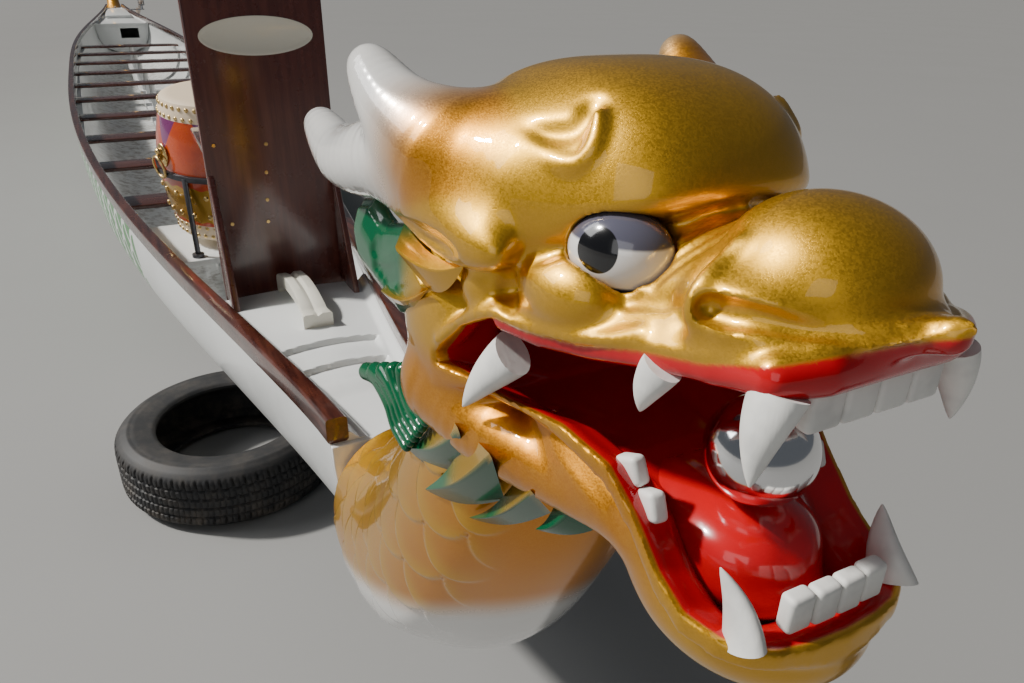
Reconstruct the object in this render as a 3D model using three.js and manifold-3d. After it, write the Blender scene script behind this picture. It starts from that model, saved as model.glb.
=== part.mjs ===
// Dragon boat with a mounted head and tail, beached with its bow on a tyre.
// Millimetres. X runs forward to the bow, Y to port, Z up from the ground.
// Hull stations are written from midship; the group shifts them so that X = 0 is the middle of the whole length.
import * as THREE from "three";
import { mergeVertices } from "three/addons/utils/BufferGeometryUtils.js";
import Module from "manifold-3d";

const wasm = await Module();
wasm.setup();

// Driving dimensions
const HALF_LENGTH = 6245; // the standard racing hull, 12.49 m
const HALF_BEAM = 580; // 1.16 m over the gunwales
const END_HALF_BEAM = 120; // half the width of the flat bow and stern ends
const PLAN_FULLNESS = 2.9;
const PLAN_ROUNDING = 1.3;
const SHEER_MID = 470; // hull edge above the ground at midship
const SHEER_RISE = 144;
const KEEL_FLAT = 3600; // the bottom is straight out to here
const KEEL_RISE = 360;
const WALL = 12;
const SEAT_GAP = 0.3; // what seats on a neighbour stays this far off it
const WALL_GAP = 0.9; // what lies along the faceted hull wall
const STATIONS = 44;
const GIRTH = 25;
const CAP_WIDTH = 38;
const CAP_HEIGHT = 50;
const CAP_OVER = 4; // how far the cap stands out past the hull's side
const BENCH_PITCH = 750;
const BENCH_FIRST = 3770;
const BENCH_COUNT = 10;
const BENCH_WIDTH = 170;
const BENCH_THICK = 20;
const BENCH_TOP = 400;
const BENCH_RISE = 60;
const LEDGER_DEPTH = 32;
const LEDGER_WIDTH = 26;
const LEDGER_BEYOND = { aft: 320, fore: 20 };
const DECK_THICK = 12;
const BOW_DECK_AFT = 5360;
const STERN_DECK_FORE = -4700;
const LIP_TIP = 7179; // tip of the upper lip, the foremost point
const OAR_TIP = -7491; // end of the oar blade, the aftmost point
const MIDDLE = (LIP_TIP + OAR_TIP) / 2;

const PAINT = {
  white: { color: 0xe9ebe8, roughness: 0.3, metalness: 0 },
  mahogany: { color: 0x3b1410, roughness: 0.28, metalness: 0 },
  gold: { color: 0xc98f1c, roughness: 0.3, metalness: 0.7 },
  green: { color: 0x0f6a44, roughness: 0.3, metalness: 0 },
  red: { color: 0xb3060c, roughness: 0.2, metalness: 0 },
  tooth: { color: 0xf2f0ea, roughness: 0.5, metalness: 0 },
  chrome: { color: 0xd8dadc, roughness: 0.05, metalness: 1 },
  steel: { color: 0xb8bbbf, roughness: 0.25, metalness: 1 },
  drum: { color: 0xc4421a, roughness: 0.35, metalness: 0 },
  hide: { color: 0xcfae86, roughness: 0.7, metalness: 0 },
  rubber: { color: 0x17181a, roughness: 0.85, metalness: 0 },
  timber: { color: 0x8a5a30, roughness: 0.45, metalness: 0 },
};

const boat = new THREE.Group();
boat.position.x = -MIDDLE;

// Helpers

// A closed geometry with shared corners and faces that point out.
function closed(geometry) {
  const bare = geometry.index ? geometry.toNonIndexed() : geometry.clone();
  bare.deleteAttribute("normal");
  bare.deleteAttribute("uv");
  const merged = mergeVertices(bare, 1e-3);
  const p = merged.attributes.position;
  const ix = merged.index.array;
  const [a, b, c] = [0, 1, 2].map(() => new THREE.Vector3());
  let volume = 0;
  for (let i = 0; i < ix.length; i += 3) {
    a.fromBufferAttribute(p, ix[i]);
    b.fromBufferAttribute(p, ix[i + 1]);
    c.fromBufferAttribute(p, ix[i + 2]);
    volume += a.dot(b.cross(c));
  }
  if (volume < 0)
    for (let i = 0; i < ix.length; i += 3)
      [ix[i + 1], ix[i + 2]] = [ix[i + 2], ix[i + 1]];
  return merged;
}

function solid(geometry) {
  const g = closed(geometry);
  return new wasm.Manifold(
    new wasm.Mesh({
      numProp: 3,
      vertProperties: g.attributes.position.array,
      triVerts: new Uint32Array(g.index.array),
    }),
  );
}

function geometryOf(manifold) {
  const m = manifold.getMesh();
  const g = new THREE.BufferGeometry();
  g.setAttribute("position", new THREE.BufferAttribute(m.vertProperties, 3));
  g.setIndex(new THREE.BufferAttribute(m.triVerts, 1));
  return g;
}

function join(...geometries) {
  return geometryOf(
    geometries.map(solid).reduce((all, next) => all.add(next)),
  );
}

function cut(base, ...tools) {
  return geometryOf(
    tools.map(solid).reduce((left, tool) => left.subtract(tool), solid(base)),
  );
}

function common(first, second) {
  return geometryOf(solid(first).intersect(solid(second)));
}

function piece(name, geometry, paint, parent = boat) {
  const g = closed(geometry);
  g.computeVertexNormals();
  const mesh = new THREE.Mesh(g, new THREE.MeshStandardMaterial(PAINT[paint]));
  mesh.name = name;
  parent.add(mesh);
  return mesh;
}

// A box of nu x nv x nw cells whose corners go where place(u, v, w) puts them, each of u, v, w from 0 to 1.
function warped(nu, nv, nw, place) {
  const g = new THREE.BoxGeometry(1, 1, 1, nu, nv, nw);
  const p = g.attributes.position;
  for (let i = 0; i < p.count; i++)
    p.setXYZ(i, ...place(p.getX(i) + 0.5, p.getY(i) + 0.5, p.getZ(i) + 0.5));
  return g;
}

const lerp = THREE.MathUtils.lerp;
const box = (x0, x1, y0, y1, z0, z1) =>
  new THREE.BoxGeometry(x1 - x0, y1 - y0, z1 - z0).translate(
    (x0 + x1) / 2,
    (y0 + y1) / 2,
    (z0 + z1) / 2,
  );
const ellipsoid = (x, y, z, rx, ry, rz, n = 16) =>
  new THREE.SphereGeometry(1, n, Math.round(n * 0.7))
    .scale(rx, ry, rz)
    .translate(x, y, z);

// A rod between two points.
function rod(from, to, radius, sides = 8, radiusTo = radius) {
  const a = new THREE.Vector3(...from);
  const b = new THREE.Vector3(...to);
  const g = new THREE.CylinderGeometry(radiusTo, radius, a.distanceTo(b), sides);
  const turn = new THREE.Quaternion().setFromUnitVectors(
    new THREE.Vector3(0, 1, 0),
    b.clone().sub(a).normalize(),
  );
  return g
    .applyQuaternion(turn)
    .translate(...a.add(b).multiplyScalar(0.5).toArray());
}

// A closed tube with elliptic rings: rows of { x, z, y, tilt, wide, high }, tilt in degrees up from forward.
function ringed(rows, sides = 14) {
  const n = rows.length - 1;
  const g = new THREE.CylinderGeometry(1, 1, 1, sides, n);
  const p = g.attributes.position;
  for (let i = 0; i < p.count; i++) {
    const row = rows[Math.round((p.getY(i) + 0.5) * n)];
    const tilt = THREE.MathUtils.degToRad(row.tilt);
    const up = p.getX(i) * row.high;
    p.setXYZ(
      i,
      row.x - up * Math.sin(tilt),
      (row.y ?? 0) + p.getZ(i) * row.wide,
      row.z + up * Math.cos(tilt),
    );
  }
  return g;
}

// Hull lines

const along = (x) => Math.min(Math.abs(x) / HALF_LENGTH, 1);
const halfBeam = (x) =>
  END_HALF_BEAM +
  (HALF_BEAM - END_HALF_BEAM) *
    Math.pow(1 - Math.pow(along(x), PLAN_FULLNESS), PLAN_ROUNDING);
const sheer = (x) => SHEER_MID + SHEER_RISE * Math.pow(along(x), 4);
const keel = (x) =>
  KEEL_RISE *
  Math.pow(Math.max(0, (Math.abs(x) - KEEL_FLAT) / (HALF_LENGTH - KEEL_FLAT)), 1.2);
const fullness = (x) => 3.2 - along(x) ** 2;
const station = (u) => lerp(-HALF_LENGTH, HALF_LENGTH, u);

// The hull's section at x: v from 0 at the starboard edge to 1 at the port edge, inset by the wall.
function section(x, v, inset) {
  const angle = (v - 0.5) * Math.PI;
  const power = 2 / fullness(x);
  const flat = Math.abs(v - 0.5) < 0.51 / GIRTH;
  const half = halfBeam(x) - inset;
  const deep = sheer(x) - keel(x) - inset;
  const y = half * Math.sign(angle) * Math.pow(Math.abs(Math.sin(angle)), power);
  const z = sheer(x) - deep * (flat ? 1 : Math.pow(Math.cos(angle), power));
  return [x, y, z];
}

const KEEL_HALF = 30; // clear half width right on the bottom
// Half the clear width inside the faceted wall at a station and a height.
function clearAtStation(x, z) {
  if (z < keel(x) + WALL + 1) return KEEL_HALF;
  for (let i = Math.floor(GIRTH / 2); i < GIRTH; i++) {
    const [, y0, z0] = section(x, i / GIRTH, WALL);
    const [, y1, z1] = section(x, (i + 1) / GIRTH, WALL);
    if (z >= z0 && z <= z1 && y0 >= 0) return lerp(y0, y1, (z - z0) / (z1 - z0));
  }
  return section(x, 1, WALL)[1];
}
function clearHalf(x, z) {
  const at = ((x + HALF_LENGTH) / (2 * HALF_LENGTH)) * STATIONS;
  const low = Math.min(Math.floor(at), STATIONS - 1);
  return lerp(
    clearAtStation(station(low / STATIONS), z),
    clearAtStation(station((low + 1) / STATIONS), z),
    at - low,
  );
}
// Stations from x0 to x1 that fall on the hull's own, with the two ends.
function stationsBetween(x0, x1) {
  const inner = [];
  for (let i = 0; i <= STATIONS; i++) {
    const x = station(i / STATIONS);
    if (x > x0 + 5 && x < x1 - 5) inner.push(x);
  }
  return [x0, ...inner, x1];
}

const hull = warped(STATIONS, GIRTH, 1, (u, v, w) =>
  section(station(u), v, w * WALL),
);
piece("hull_shell", hull, "white");

// The flat boards that close the hull's ends
for (const [end, name] of [
  [1, "bow_end_board"],
  [-1, "stern_end_board"],
]) {
  const x = end * (HALF_LENGTH + SEAT_GAP);
  piece(
    name,
    warped(1, GIRTH, 2, (u, v, w) => {
      const [, y, z] = section(HALF_LENGTH, v, 0);
      return [x + end * u * WALL, y, lerp(sheer(HALF_LENGTH), z, w)];
    }),
    "white",
  );
}

// Gunwale caps
for (const [side, name] of [
  [1, "gunwale_cap_port"],
  [-1, "gunwale_cap_starboard"],
])
  piece(
    name,
    warped(STATIONS, 1, 1, (u, v, w) => {
      const x = station(u);
      return [
        x,
        side * (halfBeam(x) + CAP_OVER - v * CAP_WIDTH),
        sheer(x) + SEAT_GAP + w * CAP_HEIGHT,
      ];
    }),
    "mahogany",
  );

// Benches on their ledgers
const DRUM_BOARD = { aft: 4230, fore: 4680, thick: 22 };
const benchTop = (x) => BENCH_TOP + BENCH_RISE * along(x) ** 3;
const ledgerTop = (x) => benchTop(x) - BENCH_THICK - SEAT_GAP;
const ledgerStations = stationsBetween(
  BENCH_FIRST - BENCH_PITCH * (BENCH_COUNT - 1) - LEDGER_BEYOND.aft,
  DRUM_BOARD.fore + LEDGER_BEYOND.fore,
);
for (const [side, name] of [
  [1, "seat_ledger_port"],
  [-1, "seat_ledger_starboard"],
])
  piece(
    name,
    warped(ledgerStations.length - 1, 1, 1, (u, v, w) => {
      const x = ledgerStations[Math.round(u * (ledgerStations.length - 1))];
      const z = ledgerTop(x) - w * LEDGER_DEPTH;
      return [x, side * (clearHalf(x, z) - WALL_GAP - v * LEDGER_WIDTH), z];
    }),
    "white",
  );
const benchMiddle = (i) => BENCH_FIRST - i * BENCH_PITCH;
// A bench is flat: it rests on the higher of the ledgers' heights under its edges
const benchHeight = (middle) =>
  Math.max(benchTop(middle - BENCH_WIDTH / 2), benchTop(middle + BENCH_WIDTH / 2));
for (let i = 0; i < BENCH_COUNT; i++) {
  const middle = benchMiddle(i);
  const top = benchHeight(middle);
  piece(
    "bench_" + String(i + 1).padStart(2, "0"),
    warped(2, 1, 1, (u, v, w) => {
      const x = middle + (u - 0.5) * BENCH_WIDTH;
      const half = clearHalf(x, top - BENCH_THICK) - WALL_GAP;
      return [x, lerp(-half, half, v), top - BENCH_THICK * w];
    }),
    "mahogany",
  );
}

// The keelson lies on the floor and carries a post under each bench's middle
const KEELSON = { end: 4200, half: 45, tall: 48, post: 22 };
const keelsonFoot = WALL + SEAT_GAP + keel(KEELSON.end);
const posts = [];
for (let i = 0; i < BENCH_COUNT; i++) {
  const middle = benchMiddle(i);
  posts.push(
    rod(
      [middle, 0, keelsonFoot + KEELSON.tall / 2],
      [middle, 0, benchHeight(middle) - BENCH_THICK - SEAT_GAP],
      KEELSON.post,
      10,
    ),
  );
}
piece(
  "keelson",
  join(
    box(
      -KEELSON.end,
      KEELSON.end,
      -KEELSON.half,
      KEELSON.half,
      keelsonFoot,
      keelsonFoot + KEELSON.tall,
    ),
    ...posts,
  ),
  "white",
);

// Bulkheads and decks
const DECK_DROP = 8; // decks lie this far below the hull's edge
const DECK_GAP = 1;
const BULKHEAD = { thick: 16, bow: BOW_DECK_AFT + 20, stern: STERN_DECK_FORE - 36, foot: 8 };
const HATCH = { starboard: -30, port: 190, low: 330, high: 450 };
const deckTop = (x) => sheer(x) - DECK_DROP;
// A bulkhead at x whose foot clears the keel under its outboard end
function bulkhead(x, outboard) {
  const low = keel(outboard) + WALL + BULKHEAD.foot;
  const high = deckTop(x) - DECK_THICK - DECK_GAP;
  return warped(1, 8, 6, (u, v, w) => {
    const z = lerp(low, high, w);
    const half =
      Math.min(clearHalf(x, z), clearHalf(x + BULKHEAD.thick, z)) - 3 * WALL_GAP;
    return [x + u * BULKHEAD.thick, lerp(-half, half, v), z];
  });
}
piece("bow_bulkhead", bulkhead(BULKHEAD.bow, BOW_DECK_AFT + 90), "white");
piece(
  "stern_bulkhead",
  cut(
    bulkhead(BULKHEAD.stern, STERN_DECK_FORE - 60),
    box(
      STERN_DECK_FORE - 60,
      STERN_DECK_FORE,
      HATCH.starboard,
      HATCH.port,
      HATCH.low,
      HATCH.high,
    ),
  ),
  "white",
);

function deck(x0, x1) {
  const xs = stationsBetween(x0, x1);
  return warped(xs.length - 1, 6, 1, (u, v, w) => {
    const x = xs[Math.round(u * (xs.length - 1))];
    const half = clearHalf(x, deckTop(x) - DECK_THICK) - WALL_GAP;
    return [x, lerp(-half, half, v), deckTop(x) - w * DECK_THICK];
  });
}
piece("bow_deck", deck(BOW_DECK_AFT, HALF_LENGTH - DECK_GAP), "white");
piece("stern_deck", deck(DECK_GAP - HALF_LENGTH, STERN_DECK_FORE), "white");
const PLATFORM = { aft: -5950, fore: -5250, half: 160, inside: 12, tall: 40 };
const platformStations = stationsBetween(PLATFORM.aft, PLATFORM.fore);
piece(
  "stern_platform",
  warped(platformStations.length - 1, 1, 1, (u, v, w) => {
    const x = platformStations[Math.round(u * (platformStations.length - 1))];
    const half = Math.min(halfBeam(x) - CAP_WIDTH - PLATFORM.inside, PLATFORM.half);
    return [x, lerp(-half, half, v), deckTop(x) + 2 * SEAT_GAP + w * PLATFORM.tall];
  }),
  "white",
);

// The lifting handle on the bow deck's centreline
const HANDLE = { aft: 5366, step: 5390, fore: 5680, half: 30, rise: 46, open: 12 };
const handleFoot = deckTop(HANDLE.fore);
piece(
  "bow_handle",
  cut(
    box(
      HANDLE.aft,
      HANDLE.fore,
      -HANDLE.half,
      HANDLE.half,
      handleFoot + SEAT_GAP,
      handleFoot + HANDLE.rise,
    ),
    box(
      HANDLE.aft - 1,
      HANDLE.step,
      -2 * HANDLE.half,
      2 * HANDLE.half,
      handleFoot - HANDLE.rise,
      handleFoot + HANDLE.open,
    ),
  ),
  "white",
);

// The drummer's seat: a tall board behind the deck's edge, leaning aft
const BOARD = {
  x: BOW_DECK_AFT - 30,
  pivot: 540,
  low: 440,
  high: 1340,
  half: 165,
  thick: 22,
  lean: 2,
};
const seat = new THREE.Group();
seat.position.set(BOARD.x, 0, BOARD.pivot);
seat.rotation.y = -THREE.MathUtils.degToRad(BOARD.lean);
boat.add(seat);
piece(
  "seat_board",
  box(
    -BOARD.thick,
    0,
    -BOARD.half,
    BOARD.half,
    BOARD.low - BOARD.pivot,
    BOARD.high - BOARD.pivot,
  ),
  "mahogany",
  seat,
);
const SEAT = { top: 930, thick: 24, deep: 300, half: 160 };
const leanTan = Math.tan(THREE.MathUtils.degToRad(BOARD.lean));
const boardFace = (z) => BOARD.x - (z - BOARD.pivot) * leanTan;
const boardBack = (z) =>
  boardFace(z) - BOARD.thick / Math.cos(THREE.MathUtils.degToRad(BOARD.lean));
const seatFore = boardBack(SEAT.top) - SEAT_GAP;
const seatUnder = SEAT.top - SEAT.thick;
piece(
  "seat_plate",
  box(
    seatFore - SEAT.deep,
    seatFore,
    -SEAT.half,
    SEAT.half,
    seatUnder,
    SEAT.top,
  ),
  "mahogany",
);
const FIN_RUN = 135;
const FIN = { y: 156, thick: 16, top: 870, toe: 8, foot: deckTop(BOARD.x + FIN_RUN) + SEAT_GAP };
const BRACKET = { y: 120, thick: 16, short: 40, lip: 20, root: 640 };
// A fin in the XZ plane, thick along Y about y
const upright = (shape, y, thick) =>
  new THREE.ExtrudeGeometry(shape, { depth: thick, bevelEnabled: false })
    .rotateX(Math.PI / 2)
    .translate(0, y + thick / 2, 0);
for (const [side, word] of [
  [1, "port"],
  [-1, "starboard"],
]) {
  piece(
    "seat_fin_" + word,
    upright(
      new THREE.Shape([
        new THREE.Vector2(boardFace(FIN.foot) + SEAT_GAP, FIN.foot),
        new THREE.Vector2(boardFace(FIN.foot) + FIN_RUN, FIN.foot),
        new THREE.Vector2(boardFace(FIN.foot) + FIN_RUN, FIN.foot + FIN.toe),
        new THREE.Vector2(boardFace(FIN.top) + SEAT_GAP, FIN.top),
      ]),
      side * FIN.y,
      FIN.thick,
    ),
    "mahogany",
  );
  piece(
    "seat_bracket_" + word,
    upright(
      new THREE.Shape([
        new THREE.Vector2(boardBack(seatUnder) - SEAT_GAP, seatUnder - SEAT_GAP),
        new THREE.Vector2(seatFore - SEAT.deep + BRACKET.short, seatUnder - SEAT_GAP),
        new THREE.Vector2(seatFore - SEAT.deep + BRACKET.short, seatUnder - BRACKET.lip),
        new THREE.Vector2(boardBack(BRACKET.root) - SEAT_GAP, BRACKET.root),
      ]),
      side * BRACKET.y,
      BRACKET.thick,
    ),
    "mahogany",
  );
}
const PLAQUE = { z: 1194, half: 135, rise: 45, thick: 3 };
piece(
  "seat_plaque",
  new THREE.CylinderGeometry(1, 1, PLAQUE.thick, 28)
    .rotateZ(Math.PI / 2)
    .scale(1, PLAQUE.half, PLAQUE.rise)
    .translate(SEAT_GAP + PLAQUE.thick / 2, 0, PLAQUE.z - BOARD.pivot),
  "tooth",
  seat,
);

// The drum, its head tilted to the drummer, on a four-legged stand
const DRUM = { x: 4450, top: 950, tall: 480, rim: 196, belly: 236, tilt: 5, skin: 16 };
const drum = new THREE.Group();
drum.position.set(DRUM.x, 0, DRUM.top - DRUM.tall / 2);
drum.rotation.y = THREE.MathUtils.degToRad(DRUM.tilt);
boat.add(drum);
// A turned solid about Z from [radius, height] points, closed on itself or on the axis
const turned = (points, sides = 28) =>
  new THREE.LatheGeometry(
    points.map(([r, z]) => new THREE.Vector2(r, z)),
    sides,
  ).rotateX(Math.PI / 2);
const barrelRadius = (t) => DRUM.belly - (DRUM.belly - DRUM.rim) * (2 * t - 1) ** 2;
const barrel = [];
for (let i = 0; i <= 8; i++)
  barrel.push([barrelRadius(i / 8), (i / 8 - 0.5) * (DRUM.tall - 2 * DRUM.skin)]);
piece(
  "drum_barrel",
  turned([[0, barrel[0][1]], ...barrel, [0, barrel[8][1]]]),
  "drum",
  drum,
);
for (const [side, word] of [
  [1, "upper"],
  [-1, "lower"],
])
  piece(
    "drum_head_" + word,
    turned([
      [0, side * (DRUM.tall / 2 - DRUM.skin + SEAT_GAP)],
      [DRUM.rim + 6, side * (DRUM.tall / 2 - DRUM.skin + SEAT_GAP)],
      [DRUM.rim + 8, side * (DRUM.tall / 2 - 5)],
      [DRUM.rim - 4, side * (DRUM.tall / 2)],
      [0, side * (DRUM.tall / 2)],
    ]),
    "hide",
    drum,
  );
// The stand is a ring round the barrel's belly on four legs that stand on a board across the ledgers
const boardUnder = Math.max(...[DRUM_BOARD.aft, DRUM_BOARD.fore].map(ledgerTop)) + SEAT_GAP;
const boardTop = boardUnder + DRUM_BOARD.thick;
piece(
  "drum_board",
  warped(2, 1, 1, (u, v, w) => {
    const x = lerp(DRUM_BOARD.aft, DRUM_BOARD.fore, u);
    const half = clearHalf(x, boardUnder) - WALL_GAP;
    return [x, lerp(-half, half, v), boardTop - DRUM_BOARD.thick * w];
  }),
  "white",
);
const STAND = {
  ring: DRUM.belly + 0.4,
  thick: 14,
  rod: 9,
  footX: 190,
  footY: 171,
  flange: 20,
  plate: 12,
};
drum.updateMatrix();
const onDrum = (x, y, z) => new THREE.Vector3(x, y, z).applyMatrix4(drum.matrix).toArray();
const legs = [];
for (const sx of [1, -1])
  for (const sy of [1, -1]) {
    const foot = [DRUM.x + sx * STAND.footX, sy * STAND.footY];
    const reach = (STAND.ring + STAND.rod) * Math.SQRT1_2;
    legs.push(
      rod(onDrum(sx * reach, sy * reach, 0), [...foot, boardTop + STAND.plate], STAND.rod),
      turned(
        [
          [0, 0],
          [STAND.flange, 0],
          [STAND.flange, STAND.plate],
          [0, STAND.plate],
        ],
        12,
      ).translate(...foot, boardTop + SEAT_GAP),
    );
  }
piece(
  "drum_stand",
  join(
    turned(
      [
        [STAND.ring, -STAND.rod],
        [STAND.ring + STAND.thick, -STAND.rod],
        [STAND.ring + STAND.thick, STAND.rod],
        [STAND.ring, STAND.rod],
        [STAND.ring, -STAND.rod],
      ],
      28,
    ).applyMatrix4(drum.matrix),
    ...legs,
  ),
  "steel",
);

// The neck rises from the bow end and bends up under the head
const NECK = [
  { x: 6257.6, z: 494, tilt: 0, wide: 116, high: 128 },
  { x: 6330, z: 498, tilt: 8, wide: 128, high: 138 },
  { x: 6440, z: 530, tilt: 24, wide: 138, high: 146 },
  { x: 6550, z: 596, tilt: 40, wide: 142, high: 150 },
  { x: 6640, z: 690, tilt: 52, wide: 140, high: 148 },
  { x: 6710, z: 800, tilt: 58, wide: 132, high: 140 },
  { x: 6770, z: 900, tilt: 60, wide: 120, high: 124 },
  { x: 6820, z: 1000, tilt: 62, wide: 100, high: 90 },
];
const NECK_GAP = 0.5;
const grown = (rows, by) =>
  rows.map((row) => ({ ...row, wide: row.wide + by, high: row.high + by }));
const NECK_END = NECK[NECK.length - 1];
const neckRoom = ringed(
  grown([...NECK, { ...NECK_END, x: NECK_END.x + 1, z: NECK_END.z + 1 }], NECK_GAP),
  16,
);
piece("neck", ringed(NECK, 16), "gold");

// The head, mouth open, its edges given from the nose aft: columns x, half width, z
const PARTING = 1065; // the jaw's top behind the mouth
const LIP = [
  [LIP_TIP, 8, 1212],
  [7156, 30, 1201],
  [7118, 75, 1184],
  [7090, 85, 1173],
  [6997, 105, 1148],
  [6916, 130, 1139],
  [6872, 138, 1113],
  [6835, 140, PARTING + 2 * SEAT_GAP],
];
const RIM = [
  [7164, 20, 1000],
  [7157, 52, 1000],
  [7132, 80, 1000],
  [7106, 90, 1003],
  [7080, 92, 1017],
  [7050, 93, 1044],
  [7022, 97, 1066],
  [6975, 107, 1074],
  [6912, 120, 1066],
  [6835, 140, PARTING],
];
const OUTSIDE = { aft: 6400, fore: 7400, low: 700, high: 1500 };
const LIP_THICK = 18;
const RIM_THICK = 20;
// A slab in plan along an edge, from height low to height high off it
const shelf = (edge, narrower, low, high) =>
  warped(edge.length - 1, 1, 1, (u, v, w) => {
    const [x, half, z] = edge[Math.round(u * (edge.length - 1))];
    return [x, lerp(narrower - half, half - narrower, v), z + lerp(low, high, w)];
  });
// A shape drawn in side view, through the head from half to port to half to starboard
const through = (points, half) =>
  upright(new THREE.Shape(points.map(([x, z]) => new THREE.Vector2(x, z))), 0, 2 * half);
// All that lies over or under an edge, moved up by lift
const beyond = (edge, level, lift, half = 200) =>
  through(
    [
      ...edge.map(([x, , z]) => [x, z + lift]),
      [OUTSIDE.aft, edge[edge.length - 1][2] + lift],
      [OUTSIDE.aft, level],
      [OUTSIDE.fore, level],
      [OUTSIDE.fore, edge[0][2] + lift],
    ],
    half,
  );
// Rounded masses, columns x, y, z, rx, ry, rz and pitch in degrees; what is off the middle is mirrored
const HEAD_MASSES = [
  [6868, 0, 1200, 162, 116, 118, 6],
  [6800, 0, 1130, 130, 108, 100, 0],
  [7000, 0, 1178, 140, 82, 54, 14],
  [7088, 0, 1212, 63, 61, 49, -4],
  [7084, 47, 1200, 42, 40, 27, 6],
  [6957, 89, 1170, 50, 34, 31, 8],
  [6802, 98, 1085, 83, 55, 88, 0],
];
const JAW_MASSES = [
  [7072, 0, 980, 94, 84, 60, -8],
  [6970, 0, 1030, 150, 98, 42, -12],
  [6790, 0, 1030, 100, 105, 90, 0],
  [6860, 92, 1010, 112, 46, 46, 0],
  [6970, 76, 1006, 92, 30, 28, 0],
];
const masses = (rows, by = 0) =>
  rows
    .flatMap((row) => (row[1] ? [row, [row[0], -row[1], ...row.slice(2)]] : [row]))
    .map(([x, y, z, rx, ry, rz, pitch]) =>
      ellipsoid(0, 0, 0, rx + by, ry + by, rz + by)
        .rotateY(-THREE.MathUtils.degToRad(pitch))
        .translate(x, y, z),
    );
const EYE = { x: 6984, y: 71, z: 1203, rx: 37, ry: 26, rz: 29, yaw: 30 };
const eyeball = (side, by) =>
  ellipsoid(0, 0, 0, EYE.rx + by, EYE.ry + by, EYE.rz + by)
    .rotateZ(-side * THREE.MathUtils.degToRad(EYE.yaw))
    .translate(EYE.x, side * EYE.y, EYE.z);
const MASS_GAP = 0.4; // what meets a rounded mass stays this far off it
const headRoom = [
  ...masses(HEAD_MASSES, MASS_GAP),
  shelf(LIP, -MASS_GAP, -MASS_GAP, LIP_THICK + MASS_GAP),
];
const jawRoom = [
  ...masses(JAW_MASSES, MASS_GAP),
  shelf(RIM, -MASS_GAP, -RIM_THICK - MASS_GAP, MASS_GAP),
];
piece(
  "head_upper",
  cut(
    join(...masses(HEAD_MASSES), shelf(LIP, 0, 0, LIP_THICK)),
    neckRoom,
    beyond(LIP, OUTSIDE.low, 0),
    eyeball(1, SEAT_GAP),
    eyeball(-1, SEAT_GAP),
  ),
  "gold",
);
// The mouth's floor lies lower than the rim between the tooth rows
const MOUTH = { fore: 7140, half: 60, deep: 30 };
const FLOOR = RIM.slice(1, -1).map(([x, half, z]) => [
  Math.min(x, MOUTH.fore),
  half,
  z - MOUTH.deep,
]);
piece(
  "jaw_lower",
  cut(
    join(...masses(JAW_MASSES), shelf(RIM, 0, -RIM_THICK, 0)),
    neckRoom,
    beyond(RIM, OUTSIDE.high, 0),
    through(
      [
        ...FLOOR.map(([x, , z]) => [x, z]),
        [FLOOR[FLOOR.length - 1][0], OUTSIDE.high],
        [FLOOR[0][0], OUTSIDE.high],
      ],
      MOUTH.half,
    ),
  ),
  "gold",
);
// Tongue and ball have a corner straight above the middle, so that the ball seats on the tongue
const ROUND = 20;
const TONGUE = { x: 7066, z: 1002, long: 60, wide: 50, rise: 36 };
const BALL = 39;
piece(
  "tongue",
  cut(
    ellipsoid(TONGUE.x, 0, TONGUE.z, TONGUE.long, TONGUE.wide, TONGUE.rise, ROUND),
    beyond(FLOOR, OUTSIDE.low, SEAT_GAP),
  ),
  "red",
);
piece(
  "mouth_ball",
  ellipsoid(TONGUE.x, 0, TONGUE.z + TONGUE.rise + SEAT_GAP + BALL, BALL, BALL, BALL, ROUND),
  "chrome",
);
// Antler and prong from the brow to the tips: columns x, y, z, radius
const ANTLER = [
  [6850, 100, 1226, 52],
  [6730, 144, 1216, 37],
  [6640, 155, 1199, 30],
  [6545, 155, 1212, 18.5],
];
const PRONG = [
  [6820, 125, 1238, 46],
  [6775, 146, 1262, 32],
  [6735, 156, 1291, 19.5],
];
const horn = (rows, side) =>
  rows.slice(1).flatMap(([x, y, z, r], i) => {
    const [fromX, fromY, fromZ, fromR] = rows[i];
    return [
      rod([fromX, side * fromY, fromZ], [x, side * y, z], fromR, 10, r),
      ellipsoid(x, side * y, z, r, r, r, 10),
    ];
  });
const EAR = { x: 6850, y: 135, z: 1190, rx: 88, ry: 24, rz: 25 };
const ear = (side, by) =>
  ellipsoid(EAR.x, side * EAR.y, EAR.z, EAR.rx + by, EAR.ry + by, EAR.rz + by);
for (const [side, word] of [
  [1, "port"],
  [-1, "starboard"],
]) {
  piece(
    "antler_" + word,
    cut(
      join(...horn(ANTLER, side), ...horn(PRONG, side)),
      ...headRoom,
      ear(side, MASS_GAP),
    ),
    "gold",
  );
  piece("ear_" + word, cut(ear(side, 0), ...headRoom), "gold");
  piece("eye_" + word, eyeball(side, 0), "tooth");
}

// Teeth: a strip of gum carries each row. Fangs, columns: root x, y, z, tip x, y, z, radius
const GUM = 3;
const FANGS = {
  upper: [
    [7126, 69, 1200, 7141, 83, 1124, 15],
    [7056, 84, 1180, 7043, 88, 1118, 13],
    [6917, 112, 1150, 6880, 132, 1073, 18],
  ],
  lower: [[7134, 66, 985, 7116, 71, 1042, 15]],
};
const fangs = (rows) =>
  rows.flatMap(([x, y, z, tx, ty, tz, radius]) =>
    [1, -1].map((side) => rod([x, side * y, z], [tx, side * ty, tz], radius, 8, 2)),
  );
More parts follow.
